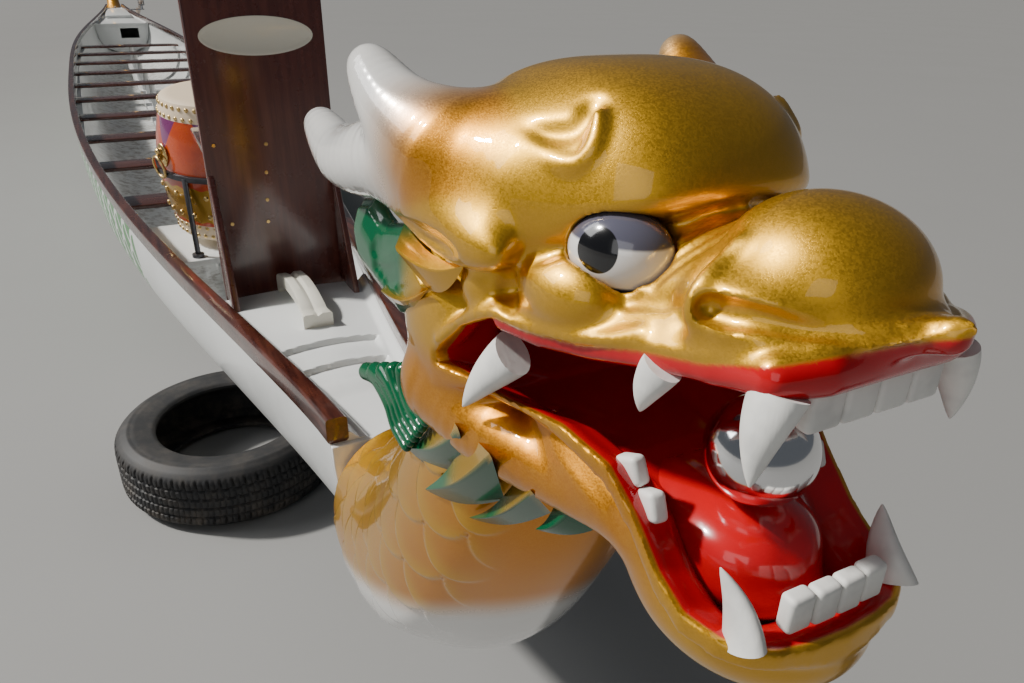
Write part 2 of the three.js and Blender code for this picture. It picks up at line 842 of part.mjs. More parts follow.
// Front teeth, a pair of blocks a row, columns: x, y, low, high
const BLOCK_THICK = 12;
const blocks = (rows, half) =>
  rows.flatMap(([x, y, low, high]) =>
    [1, -1].map((side) =>
      box(x, x + BLOCK_THICK, side * y - half, side * y + half, low, high),
    ),
  );
const UPPER_BLOCKS = [
  [7130, 13.1, 1146, 1196],
  [7130, 39.3, 1146, 1196],
];
const LOWER_BLOCKS = [
  [7139, 10.4, 1000, 1030],
  [7138, 31.2, 1000, 1030],
];
const MOLARS = [
  [7013, 72.5, 1060, 1076],
  [7037, 72.5, 1046, 1064],
];
const BLOCK_HALF = { upper: 13, lower: 10.3, molar: 6.5 };
// The gum strips are left out between the side rows
const PALATE = { fore: 7106, half: 66 };
const TONGUE_BED = { aft: 6900, fore: 7128, half: 62 };
piece(
  "teeth_upper",
  cut(
    join(
      shelf(LIP.slice(1, -1), 8, -GUM - SEAT_GAP, 0),
      ...blocks(UPPER_BLOCKS, BLOCK_HALF.upper),
      ...fangs(FANGS.upper),
    ),
    beyond(LIP, OUTSIDE.high, -SEAT_GAP),
    box(OUTSIDE.aft, PALATE.fore, -PALATE.half, PALATE.half, OUTSIDE.low, OUTSIDE.high),
  ),
  "tooth",
);
piece(
  "teeth_lower",
  cut(
    join(
      shelf(RIM.slice(1, 7), 5, 0, GUM + SEAT_GAP),
      ...blocks(LOWER_BLOCKS, BLOCK_HALF.lower),
      ...blocks(MOLARS, BLOCK_HALF.molar),
      ...fangs(FANGS.lower),
    ),
    beyond(RIM, OUTSIDE.low, SEAT_GAP),
    box(
      TONGUE_BED.aft,
      TONGUE_BED.fore,
      -TONGUE_BED.half,
      TONGUE_BED.half,
      OUTSIDE.low,
      OUTSIDE.high,
    ),
  ),
  "tooth",
);

// The mane: a plate behind each cheek with a fan above, a flared column and spikes below
const MANE = [
  [6830, 1133],
  [6802, 1147],
  [6788, 1171],
  [6723, 1153],
  [6677, 1164],
  [6639, 1154],
  [6625, 1135],
  [6647, 1084],
  [6715, 1076],
  [6712, 1040],
  [6722, 1016],
  [6655, 978],
  [6618, 949],
  [6657, 952],
  [6694, 945],
  [6713, 930],
  [6729, 908],
  [6770, 930],
  [6782, 892],
  [6830, 930],
  [6841, 893],
  [6890, 940],
  [6905, 985],
  [6860, 1050],
];
const MANE_SEAT = { y: 140, thick: 24 };
for (const [side, word] of [
  [1, "port"],
  [-1, "starboard"],
])
  piece(
    "mane_" + word,
    cut(
      upright(
        new THREE.Shape(MANE.map(([x, z]) => new THREE.Vector2(x, z))),
        side * MANE_SEAT.y,
        MANE_SEAT.thick,
      ),
      ...headRoom,
      neckRoom,
      ...jawRoom,
      ear(side, MASS_GAP),
    ),
    "green",
  );

// The tail mirrors the neck at the stern and curls up
const TAIL = [
  { x: -6257.6, z: 494, tilt: 180, wide: 112, high: 124 },
  { x: -6360, z: 505, tilt: 168, wide: 106, high: 116 },
  { x: -6480, z: 545, tilt: 152, wide: 96, high: 104 },
  { x: -6600, z: 620, tilt: 138, wide: 84, high: 92 },
  { x: -6710, z: 720, tilt: 130, wide: 70, high: 76 },
  { x: -6800, z: 840, tilt: 124, wide: 54, high: 58 },
  { x: -6880, z: 970, tilt: 120, wide: 34, high: 38 },
];
piece("tail", ringed(TAIL, 14), "gold");

// The tyre the bow rests on, lying flat
const TYRE = { x: 5319, y: -210, radius: 305, bead: 195, tall: 185 };
const tyreProfile = [
  [TYRE.bead, 18],
  [250, 2],
  [262, 0],
  [292, 12],
  [TYRE.radius, 40],
  [TYRE.radius, TYRE.tall - 40],
  [292, TYRE.tall - 12],
  [262, TYRE.tall],
  [250, TYRE.tall - 2],
  [TYRE.bead, TYRE.tall - 18],
  [200, TYRE.tall - 30],
  [255, TYRE.tall - 14],
  [286, TYRE.tall - 30],
  [292, TYRE.tall / 2],
  [286, 30],
  [255, 14],
  [200, 30],
  [TYRE.bead, 18],
];
piece("tyre", turned(tyreProfile, 40).translate(TYRE.x, TYRE.y, 0), "rubber");

// The steering oar in its lock on the port quarter
const LOCK = { x: -5650, y: 330, arm: sheer(-5690) + CAP_HEIGHT + 2 * SEAT_GAP, axis: 715 };
const OAR = {
  aft: 1850,
  fore: 850,
  dip: 10,
  radius: 22,
  blade: 620,
  bladeHalf: 110,
  bladeThick: 18,
  socket: 40,
};
const GRIP = { half: 60, radius: 17 };
const dip = THREE.MathUtils.degToRad(OAR.dip);
const CROTCH = { half: 34, rod: 7, cheek: 9, thick: 16, tall: 44 };
// The crotch's cross bar lies just under the dipping shaft
const barTop = -OAR.radius / Math.cos(dip) - CROTCH.cheek * Math.tan(dip) - SEAT_GAP;
const ARM = { half: 40, inner: 168, over: 30, thick: 10 };
const POST = { radius: 14, high: LOCK.axis + barTop - CROTCH.thick - SEAT_GAP };
const postFoot = LOCK.arm + ARM.thick / 2;
piece(
  "oar_bracket",
  join(
    box(
      LOCK.x - ARM.half,
      LOCK.x + ARM.half,
      ARM.inner,
      LOCK.y + ARM.over,
      LOCK.arm,
      LOCK.arm + ARM.thick,
    ),
    new THREE.CylinderGeometry(POST.radius, POST.radius, POST.high - postFoot, 12)
      .rotateX(Math.PI / 2)
      .translate(LOCK.x, LOCK.y, (POST.high + postFoot) / 2),
  ),
  "steel",
);
const cheek = (side) =>
  rod([0, side * CROTCH.half, barTop - 10], [0, side * CROTCH.half, CROTCH.tall], CROTCH.rod);
piece(
  "oar_lock",
  join(
    cheek(1),
    cheek(-1),
    box(
      -CROTCH.cheek,
      CROTCH.cheek,
      -CROTCH.half - CROTCH.rod,
      CROTCH.half + CROTCH.rod,
      barTop - CROTCH.thick,
      barTop,
    ),
  ).translate(LOCK.x, LOCK.y, LOCK.axis),
  "steel",
);
const oar = new THREE.Group();
oar.position.set(LOCK.x, LOCK.y, LOCK.axis);
oar.rotation.y = -dip;
boat.add(oar);
piece(
  "steering_oar",
  join(
    rod([OAR.fore, 0, 0], [-OAR.aft + OAR.blade - OAR.socket, 0, 0], OAR.radius, 12),
    box(
      -OAR.aft,
      -OAR.aft + OAR.blade,
      -OAR.bladeThick / 2,
      OAR.bladeThick / 2,
      -OAR.bladeHalf,
      OAR.bladeHalf,
    ),
    rod([OAR.fore, -GRIP.half, 0], [OAR.fore, GRIP.half, 0], GRIP.radius, 10),
  ),
  "timber",
  oar,
);

export default boat;
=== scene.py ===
"""Dragon boat, beached with its bow on a tyre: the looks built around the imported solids.

Metres, X forward, Y to port, Z up. Hull lines are written from midship, and SHIFT takes them to the
part's own frame.
"""

import logging
import math
from collections.abc import Callable, Sequence
from dataclasses import dataclass
from enum import Enum

import bpy
import numpy as np
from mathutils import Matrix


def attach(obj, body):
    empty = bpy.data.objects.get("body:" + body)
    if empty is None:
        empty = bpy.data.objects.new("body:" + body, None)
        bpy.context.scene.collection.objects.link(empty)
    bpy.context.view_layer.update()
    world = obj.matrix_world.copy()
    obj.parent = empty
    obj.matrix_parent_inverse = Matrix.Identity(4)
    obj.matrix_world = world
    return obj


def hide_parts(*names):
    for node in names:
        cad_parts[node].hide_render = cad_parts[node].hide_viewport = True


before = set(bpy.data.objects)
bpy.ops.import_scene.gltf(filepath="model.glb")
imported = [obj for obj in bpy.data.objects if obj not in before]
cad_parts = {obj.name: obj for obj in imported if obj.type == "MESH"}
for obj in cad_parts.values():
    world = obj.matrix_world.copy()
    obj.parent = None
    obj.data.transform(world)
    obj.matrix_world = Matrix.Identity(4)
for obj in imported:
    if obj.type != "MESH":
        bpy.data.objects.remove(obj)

import openvdb
from mathutils import Matrix, Vector

LOG = logging.getLogger("dragon_boat")
SHIFT = 0.156  # from the hull's midship to the middle of the whole length
BOAT = "boat"
OAR = "oar"
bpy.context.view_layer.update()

Piece = bpy.types.Object
Point = tuple[float, float, float]
Colour = tuple[float, float, float, float]


# Shader wiring


class Sock:
    """A node's output that takes part in arithmetic, each operator adding its Math node."""

    def __init__(self, wiring: "Wiring", out: bpy.types.NodeSocket) -> None:
        """Keeps the socket and the wiring that it belongs to."""
        self.wiring = wiring
        self.out = out

    def math(self, operation: str, *others: "Sock | float", flip: bool = False) -> "Sock":
        """One Math node.

        Args:
            operation: Blender's name of the operation.
            others: the other operands, sockets or numbers.
            flip: puts this socket second instead of first.

        Returns:
            The node's value.
        """
        terms = [self, *others]
        if flip:
            terms.reverse()
        inputs = {place: term for place, term in enumerate(terms)}
        return self.wiring.node("ShaderNodeMath", {"operation": operation}, inputs)

    def __add__(self, other: "Sock | float") -> "Sock":
        """Sum."""
        return self.math("ADD", other)

    def __sub__(self, other: "Sock | float") -> "Sock":
        """Difference."""
        return self.math("SUBTRACT", other)

    def __rsub__(self, other: float) -> "Sock":
        """Number less socket."""
        return self.math("SUBTRACT", other, flip=True)

    def __mul__(self, other: "Sock | float") -> "Sock":
        """Product."""
        return self.math("MULTIPLY", other)

    def __truediv__(self, other: "Sock | float") -> "Sock":
        """Quotient."""
        return self.math("DIVIDE", other)

    def __gt__(self, other: "Sock | float") -> "Sock":
        """1 where this is the greater."""
        return self.math("GREATER_THAN", other)

    def __lt__(self, other: "Sock | float") -> "Sock":
        """1 where this is the smaller."""
        return self.math("LESS_THAN", other)

    __radd__ = __add__
    __rmul__ = __mul__

    def between(self, low: float, high: float) -> "Sock":
        """Smooth step from 0 at low to 1 at high."""
        return self.wiring.node(
            "ShaderNodeMapRange",
            {"interpolation_type": "SMOOTHSTEP"},
            {"Value": self, "From Min": low, "From Max": high},
        )


class Wiring:
    """One material and the nodes behind its Principled shader."""

    def __init__(self, name: str) -> None:
        """Starts a material with a bare Principled shader."""
        self.material = bpy.data.materials.new(name)
        self.material.use_nodes = True
        self.tree = self.material.node_tree
        self.shader = self.tree.nodes["Principled BSDF"]

    def node(
        self,
        kind: str,
        settings: dict[str, object] | None = None,
        inputs: dict[str | int, "Sock | object"] | None = None,
        output: str | int = 0,
    ) -> Sock:
        """Adds any node.

        Args:
            kind: the node's type.
            settings: properties, such as a Math node's operation, which are set first.
            inputs: values or links of its sockets, by name or number.
            output: the output to return.

        Returns:
            That output.
        """
        made = self.tree.nodes.new(kind)
        for key, value in (settings or {}).items():
            setattr(made, key, value)
        for key, value in (inputs or {}).items():
            if isinstance(value, Sock):
                self.tree.links.new(value.out, made.inputs[key])
            else:
                made.inputs[key].default_value = value
        return Sock(self, made.outputs[output])

    def place(self, stretch: Point = (1, 1, 1)) -> Sock:
        """Object coordinates, stretched."""
        coords = self.node("ShaderNodeTexCoord", output="Object")
        return self.node("ShaderNodeMapping", None, {"Vector": coords, "Scale": stretch})

    def map(self, name: str) -> Sock:
        """The piece's own UV map."""
        return self.node("ShaderNodeUVMap", {"uv_map": name})

    def part(self, vector: Sock, axis: str) -> Sock:
        """One coordinate of a vector, by the letter of its axis."""
        return self.node("ShaderNodeSeparateXYZ", None, {"Vector": vector}, axis)

    def share(self, name: str) -> Sock:
        """A value that the mesh carries at its points."""
        return self.node("ShaderNodeAttribute", {"attribute_name": name}, output="Fac")

    def noise(self, vector: Sock, scale: float, detail: float = 3.0, rough: float = 0.55) -> Sock:
        """Cloudy noise from 0 to 1."""
        return self.node(
            "ShaderNodeTexNoise",
            None,
            {"Vector": vector, "Scale": scale, "Detail": detail, "Roughness": rough},
        )

    def cells(self, vector: Sock, scale: float, output: str = "Distance") -> Sock:
        """Cell noise."""
        return self.node("ShaderNodeTexVoronoi", None, {"Vector": vector, "Scale": scale}, output)

    def mix(self, share: Sock | float, first: Sock | Colour, second: Sock | Colour) -> Sock:
        """Goes from the first colour to the second with share."""
        return self.node(
            "ShaderNodeMix", {"data_type": "RGBA"}, {0: share, 6: first, 7: second}, output=2
        )

    def bump(self, height: Sock, depth: float, strength: float) -> Sock:
        """A normal from a height of the given depth in metres."""
        return self.node(
            "ShaderNodeBump", None, {"Height": height, "Distance": depth, "Strength": strength}
        )

    def surface(self, **sockets: "Sock | object") -> None:
        """Sets the shader's sockets; an underscore stands for a space in a name."""
        for key, value in sockets.items():
            socket = self.shader.inputs[key.replace("_", " ")]
            if isinstance(value, Sock):
                self.tree.links.new(value.out, socket)
            else:
                socket.default_value = value


def tint(red: float, green: float, blue: float) -> Colour:
    """An opaque linear colour."""
    return (red, green, blue, 1.0)


# Finishes


@dataclass(frozen=True)
class Finish:
    """A finish that is wired once and shared by the pieces that wear it."""

    name: str

    def wire(self, w: Wiring) -> None:
        """Fills in the nodes; each finish has its own."""
        raise NotImplementedError

    def material(self) -> bpy.types.Material:
        """The finish's material, made the first time that it is asked for."""
        known = bpy.data.materials.get(self.name)
        if known is not None:
            return known
        w = Wiring(self.name)
        self.wire(w)
        return w.material

    def dress(self, *pieces: Piece) -> None:
        """Puts the finish on whole pieces."""
        for piece in pieces:
            piece.data.materials.clear()
            piece.data.materials.append(self.material())


@dataclass(frozen=True)
class Gelcoat(Finish):
    """White polyester gelcoat, slightly uneven, with dirt and fine scuffs."""

    white: Colour = tint(0.80, 0.82, 0.81)
    soil: Colour = tint(0.34, 0.31, 0.26)
    grime: float = 0.25
    shine: float = 0.28

    def colour(self, w: Wiring) -> Sock:
        """The white with its clouds, streaks and soil.

        Args:
            w: the material's wiring.

        Returns:
            The colour.
        """
        clouds = w.noise(w.place(), 2.2, 4)
        base = w.mix(clouds.between(0.3, 0.75), self.white, tint(*(c * 0.93 for c in self.white[:3])))
        streaks = w.noise(w.place((1.5, 9, 9)), 5, 6, 0.7)
        return w.mix(streaks.between(0.58, 0.86) * self.grime, base, self.soil)

    def wire(self, w: Wiring) -> None:
        """Colour, soil, scuffs and the faint waviness of a mould.

        Args:
            w: the material's wiring.
        """
        scuffs = w.noise(w.place((4, 40, 40)), 9, 5, 0.75)
        ripple = w.noise(w.place(), 28, 2)
        w.surface(
            Base_Color=self.colour(w),
            Roughness=scuffs.between(0.35, 0.8) * 0.22 + self.shine,
            Coat_Weight=0.35,
            Coat_Roughness=0.12,
            Normal=w.bump(ripple, 0.0004, 0.15),
        )


class Side(Enum):
    """The two sides of the boat."""

    PORT = 1
    STARBOARD = -1

    @property
    def word(self) -> str:
        """The side's name as the nodes have it."""
        return self.name.lower()


@dataclass(frozen=True)
class ScaleHull(Gelcoat):
    """Hull gelcoat with a band of green fish scales, read from the map of girth and run."""

    green: Colour = tint(0.006, 0.20, 0.018)
    pitch: float = 0.165  # from scale to scale down the side
    leaf: float = 0.74  # the green leaf's radius over the scale's
    fore: float = 4.5  # the band's ends, from midship
    aft: float = -4.6

    def wire(self, w: Wiring) -> None:
        """Adds the scales to the gelcoat.

        Args:
            w: the material's wiring.
        """
        run = w.map("Run")
        down = w.part(run, "X")
        along = self.fore - w.part(run, "Y")
        radius = self.pitch / 2
        column = (along / radius).math("FLOOR")

        def reach(offset: float) -> Sock:
            """Distance to the nearest scale centre of a column, over the scale's radius."""
            own = column + offset
            ahead = along / radius - own
            odd = own.math("MODULO", 2.0).math("ABSOLUTE")
            across = (down / self.pitch + odd * 0.5 + 20.0).math("FRACT") * 2.0 - 1.0
            return (ahead * ahead + across * across).math("SQRT")

        near, far = reach(0.0), reach(1.0)
        leaf = 1 - near.between(self.leaf - 0.03, self.leaf + 0.03)
        under = near.between(0.985, 1.015) * (1 - far.between(self.leaf - 0.03, self.leaf + 0.03))
        band = (along > 0.0) * (along < self.fore - self.aft) * (down < 0.47)
        wear = w.noise(w.place(), 14, 5, 0.7)
        mask = leaf.math("MAXIMUM", under) * band
        green = w.mix(wear.between(0.3, 0.8), self.green, tint(0.015, 0.26, 0.035))
        height = w.part(w.place(), "Z")
        splash = w.noise(w.place((3, 3, 5)), 6, 8, 0.7)
        mud = (1 - height.between(0.0, 0.22)) * splash.between(0.42, 0.68)
        body = w.mix(mask, self.colour(w), green)
        w.surface(
            Base_Color=w.mix(mud * 0.75, body, tint(0.20, 0.16, 0.12)),
            Roughness=mud * 0.45 + wear.between(0.3, 0.8) * 0.14 + self.shine,
            Coat_Weight=0.45,
            Coat_Roughness=0.1,
            Normal=w.bump(w.noise(w.place(), 9, 2), 0.0014, 0.2),
        )


@dataclass(frozen=True)
class Mahogany(Finish):
    """Varnished mahogany with its grain along one axis."""

    stretch: Point = (1.2, 26, 26)
    dark: Colour = tint(0.030, 0.0065, 0.0045)
    light: Colour = tint(0.105, 0.028, 0.016)
    mirror: float = 0.07  # the varnish's own roughness

    def wire(self, w: Wiring) -> None:
        """Figure, pores and a thick varnish with a few runs and scratches.

        Args:
            w: the material's wiring.
        """
        figure = w.noise(w.place(self.stretch), 2.4, 6, 0.62)
        pores = w.noise(w.place(tuple(s * 6 for s in self.stretch)), 3.0, 3, 0.7)
        worn = w.noise(w.place(), 7, 6, 0.65)
        grain = figure * 0.72 + pores * 0.28
        colour = w.mix(grain.between(0.36, 0.66), self.dark, self.light)
        dust = w.mix(worn.between(0.62, 0.85) * 0.12, colour, tint(0.30, 0.25, 0.21))
        w.surface(
            Base_Color=dust,
            Roughness=worn.between(0.35, 0.8) * 0.22 + 0.24,
            Coat_Weight=1.0,
            Coat_Roughness=self.mirror,
            Normal=w.bump(pores, 0.0004, 0.35),
        )


@dataclass(frozen=True)
class Metal(Finish):
    """Bare or plated metal with smudges and fine scratches."""

    tone: Colour = tint(0.62, 0.63, 0.65)
    polish: float = 0.2
    smudge: float = 0.15

    def wire(self, w: Wiring) -> None:
        """Uneven polish over one metal.

        Args:
            w: the material's wiring.
        """
        smears = w.noise(w.place(), 22, 5, 0.65)
        fine = w.noise(w.place((20, 220, 220)), 3, 2)
        dull = tint(*(c * 0.72 for c in self.tone[:3]))
        w.surface(
            Base_Color=w.mix(smears.between(0.45, 0.8), self.tone, dull),
            Metallic=1.0,
            Roughness=smears.between(0.35, 0.75) * self.smudge + fine * 0.04 + self.polish,
        )


@dataclass(frozen=True)
class Rubber(Finish):
    """Old tyre rubber, dusty in its grooves."""

    def wire(self, w: Wiring) -> None:
        """Black with dried silt.

        Args:
            w: the material's wiring.
        """
        dust = w.noise(w.place(), 18, 7, 0.7)
        sand = w.noise(w.place(), 260, 2)
        low = 1 - w.part(w.place(), "Z").between(0.0, 0.13)
        soil = dust.between(0.40, 0.72) * (low * 0.55 + 0.22)
        w.surface(
            Base_Color=w.mix(soil, tint(0.014, 0.0145, 0.016), tint(0.15, 0.125, 0.10)),
            Roughness=soil * 0.25 + 0.62,
            Normal=w.bump(sand, 0.0005, 0.35),
        )


@dataclass(frozen=True)
class Enamel(Finish):
    """Brushed-on white paint of the teeth."""

    def wire(self, w: Wiring) -> None:
        """Off white with brush marks and a little grey in random patches.

        Args:
            w: the material's wiring.
        """
        marks = w.noise(w.place((60, 60, 14)), 3, 4)
        shade = w.noise(w.place(), 30, 3)
        w.surface(
            Base_Color=w.mix(shade.between(0.4, 0.8), tint(0.80, 0.80, 0.76), tint(0.60, 0.60, 0.58)),
            Roughness=marks * 0.2 + 0.42,
            Normal=w.bump(marks, 0.0006, 0.5),
        )


@dataclass(frozen=True)
class Gloss(Finish):
    """Plain two-part gloss paint with a clear coat."""

    tone: Colour
    deep: Colour

    def wire(self, w: Wiring) -> None:
        """Paint that is a little thicker in places.

        Args:
            w: the material's wiring.
        """
        clouds = w.noise(w.place(), 9, 4)
        peel = w.noise(w.place(), 120, 2)
        w.surface(
            Base_Color=w.mix(clouds.between(0.35, 0.75), self.tone, self.deep),
            Roughness=clouds * 0.12 + 0.16,
            Coat_Weight=1.0,
            Coat_Roughness=0.04,
            Normal=w.bump(peel, 0.0003, 0.2),
        )


@dataclass(frozen=True)
class FlakePaint(Finish):
    """Gold flake paint under lacquer, airbrushed on into other colours by shares that the mesh carries.

    The shares bare, leaf and throat go to white, green and red gloss; the fourth goes to deep orange,
    which is airbrushed paint in places and painted shade in the creases of the scales.
    """

    gold: Colour = tint(0.70, 0.38, 0.018)
    amber: Colour = tint(0.62, 0.20, 0.006)

    def wire(self, w: Wiring) -> None:
        """Flakes with painted glints, airbrushed colours with painted shade in the creases, and a deep
        clear coat.

        Args:
            w: the material's wiring.
        """
        flakes = w.cells(w.place(), 900, "Color")
        glint = w.node("ShaderNodeSeparateColor", None, {"Color": flakes}, "Red")
        clouds = w.noise(w.place(), 7, 4, 0.6)
        # Deep orange from the mesh's share (painted shade in the scales' creases, airbrushed orange
        # elsewhere) plus random clouds.
        ember = (w.share("ember") + clouds.between(0.45, 0.8) * 0.25).math("MINIMUM", 1.0)
        metal = w.mix(ember, self.gold, self.amber)
        # Brighter flakes, mixed a little toward pale yellow: painted glints.
        metal = w.mix(glint * 0.16, metal, tint(0.95, 0.58, 0.08))
        bare, leaf, throat = w.share("bare"), w.share("leaf"), w.share("throat")
        red = throat.between(0.42, 0.58)
        skin = w.mix(leaf, metal, tint(0.001, 0.085, 0.032))
        skin = w.mix(bare, skin, tint(0.78, 0.77, 0.74))
        skin = w.mix(red, skin, w.mix(clouds, tint(0.56, 0.002, 0.008), tint(0.40, 0.0, 0.006)))
        sheen = (1 - bare) * (1 - leaf) * (1 - red)
        w.surface(
            Base_Color=skin,
            Metallic=sheen * 0.94,
            Roughness=sheen * (glint * 0.12 + 0.20) + 0.17,
            Coat_Weight=0.85 - red * 0.45 - leaf * 0.6,
            Specular_IOR_Level=0.35,
            Coat_Roughness=0.035,
            Normal=w.bump(glint * sheen, 0.00025, 0.22),
        )


@dataclass(frozen=True)
class Hide(Finish):
    """Drum skin, tan and mottled."""

    def wire(self, w: Wiring) -> None:
        """Mottles and hair pores.

        Args:
            w: the material's wiring.
        """
        mottle = w.noise(w.place(), 11, 6, 0.65)
        pores = w.noise(w.place(), 300, 2)
        w.surface(
            Base_Color=w.mix(mottle.between(0.3, 0.75), tint(0.62, 0.44, 0.27), tint(0.36, 0.22, 0.12)),
            Roughness=mottle * 0.2 + 0.5,
            Normal=w.bump(pores * 0.5 + mottle, 0.0006, 0.3),
        )


@dataclass(frozen=True)
class DrumLacquer(Finish):
    """Orange-red drum lacquer with a gilt belt and violet lappets, read from the barrel's own map."""

    belt_low: float = 0.16
    belt_high: float = 0.42
    lappets: int = 8

    def wire(self, w: Wiring) -> None:
        """Belt and lappets by height and turn.

        Args:
            w: the material's wiring.
        """
        own = w.map("Turn")
        turn, height = w.part(own, "X"), w.part(own, "Y")
        clouds = w.noise(w.place(), 13, 5, 0.6)
        body = w.mix(clouds.between(0.3, 0.8), tint(0.62, 0.085, 0.012), tint(0.42, 0.03, 0.008))
        wave = (turn * 2.0 * math.pi * 24).math("SINE") * 0.008
        belt = (height + wave).between(self.belt_low - 0.003, self.belt_low + 0.003)
        belt = belt * (1 - (height - wave).between(self.belt_high - 0.003, self.belt_high + 0.003))
        tooth = ((turn * self.lappets).math("FRACT") - 0.5).math("ABSOLUTE") * 2.0
        lappet = ((height - 0.66) / 0.22 - tooth * 1.6).between(0.0, 0.03)
        violet = w.mix(clouds, tint(0.10, 0.015, 0.13), tint(0.16, 0.03, 0.16))
        gilt = w.mix(clouds, tint(0.72, 0.43, 0.05), tint(0.42, 0.22, 0.02))
        skin = w.mix(belt, w.mix(lappet * 0.9, body, violet), gilt)
        w.surface(
            Base_Color=skin,
            Metallic=belt * 0.8,
            Roughness=clouds * 0.16 + 0.2,
            Coat_Weight=1.0,
            Coat_Roughness=0.06,
            Normal=w.bump(w.noise(w.place(), 40, 3), 0.0005, 0.2),
        )


@dataclass(frozen=True)
class Timber(Finish):
    """Varnished ash of the steering oar."""

    def wire(self, w: Wiring) -> None:
        """Pale straight grain under varnish.

        Args:
            w: the material's wiring.
        """
        grain = w.noise(w.place((1.5, 40, 40)), 3.2, 6, 0.6)
        worn = w.noise(w.place(), 8, 5)
        w.surface(
            Base_Color=w.mix(grain.between(0.35, 0.7), tint(0.44, 0.25, 0.11), tint(0.25, 0.12, 0.045)),
            Roughness=worn * 0.2 + 0.3,
            Coat_Weight=0.7,
            Coat_Roughness=0.1,
            Normal=w.bump(grain, 0.0006, 0.25),
        )


@dataclass(frozen=True)
class EyePaint(Finish):
    """White eye with a black pupil, read from the eye's own shares."""

    def wire(self, w: Wiring) -> None:
        """Pupil and a dark rim at the eye's top and bottom, partly the lids' painted outline and partly
        painted shade under the lids.

        Args:
            w: the material's wiring.
        """
        pupil = w.share("pupil")
        rim = w.share("rim")
        # The rim's dark blue-grey: the lids' painted outline and painted shade under them.
        white = w.mix(rim.between(0.30, 0.80), tint(0.84, 0.84, 0.83), tint(0.10, 0.10, 0.14))
        w.surface(
            Base_Color=w.mix(pupil.between(0.46, 0.54), white, tint(0.004, 0.004, 0.005)),
            Roughness=w.noise(w.place(), 40) * 0.1 + 0.12,
            Coat_Weight=1.0,
            Coat_Roughness=0.03,
        )


@dataclass(frozen=True)
class Studio(Finish):
    """Plain pale floor."""

    def wire(self, w: Wiring) -> None:
        """Matt and nearly even.

        Args:
            w: the material's wiring.
        """
        faint = w.noise(w.place(), 0.8, 3)
        w.surface(
            Base_Color=w.mix(faint, tint(0.28, 0.28, 0.275), tint(0.26, 0.26, 0.255)),
            Roughness=faint * 0.1 + 0.7,
        )


WHITE = Gelcoat("gelcoat_white", grime=0.10)
DECK_WHITE = Gelcoat("gelcoat_deck", grime=0.22, shine=0.34)
CREAM = Gelcoat("gelcoat_cream", white=tint(0.76, 0.74, 0.64), grime=0.3)
HULL = ScaleHull("gelcoat_scales", grime=0.22)
LENGTHWISE = Mahogany("mahogany_lengthwise")
CROSSWISE = Mahogany("mahogany_crosswise", stretch=(26, 1.2, 26))
UPRIGHT = Mahogany("mahogany_upright", stretch=(26, 26, 1.2), dark=tint(0.075, 0.014, 0.010),
                   light=tint(0.135, 0.034, 0.022), mirror=0.16)
GOLD = FlakePaint("gold_flake")
RED = Gloss("red_gloss", tint(0.60, 0.002, 0.008), tint(0.42, 0.0, 0.006))
TOOTH = Enamel("tooth_enamel")
CHROME = Metal("chrome", tone=tint(0.86, 0.87, 0.88), polish=0.015, smudge=0.02)
STEEL = Metal("stainless")
BRASS = Metal("brass", tone=tint(0.72, 0.52, 0.22), polish=0.22)
IRON = Metal("dark_iron", tone=tint(0.10, 0.10, 0.11), polish=0.35)
TYRE = Rubber("tyre_rubber")
SKIN = Hide("drum_hide")
LACQUER = DrumLacquer("drum_lacquer")
ASH = Timber("oar_ash")
EYE = EyePaint("eye_paint")
FLOOR = Studio("studio_floor")


# Making pieces


def shown(piece: Piece, name: str, body: str, finish: Finish | None = None,
          stands_for: Sequence[str] = ()) -> Piece:
    """Finishes a piece that was built in the hull's frame and hands it to the model.

    Args:
        piece: the object, with its mesh measured from midship.
        name: the piece's name.
        body: the body that it rides on.
        finish: the finish of the whole piece, if it has one.
        stands_for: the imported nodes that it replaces.

    Returns:
        The piece.
    """
    piece.name = name
    piece.data.name = name
    piece.data.transform(Matrix.Translation((SHIFT, 0, 0)) @ piece.matrix_world)
    piece.matrix_world = Matrix.Identity(4)
    if finish is not None:
        finish.dress(piece)
    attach(piece, body)
    if stands_for:
        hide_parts(*stands_for)
    LOG.info("%s: %d faces", name, len(piece.data.polygons))
    return piece


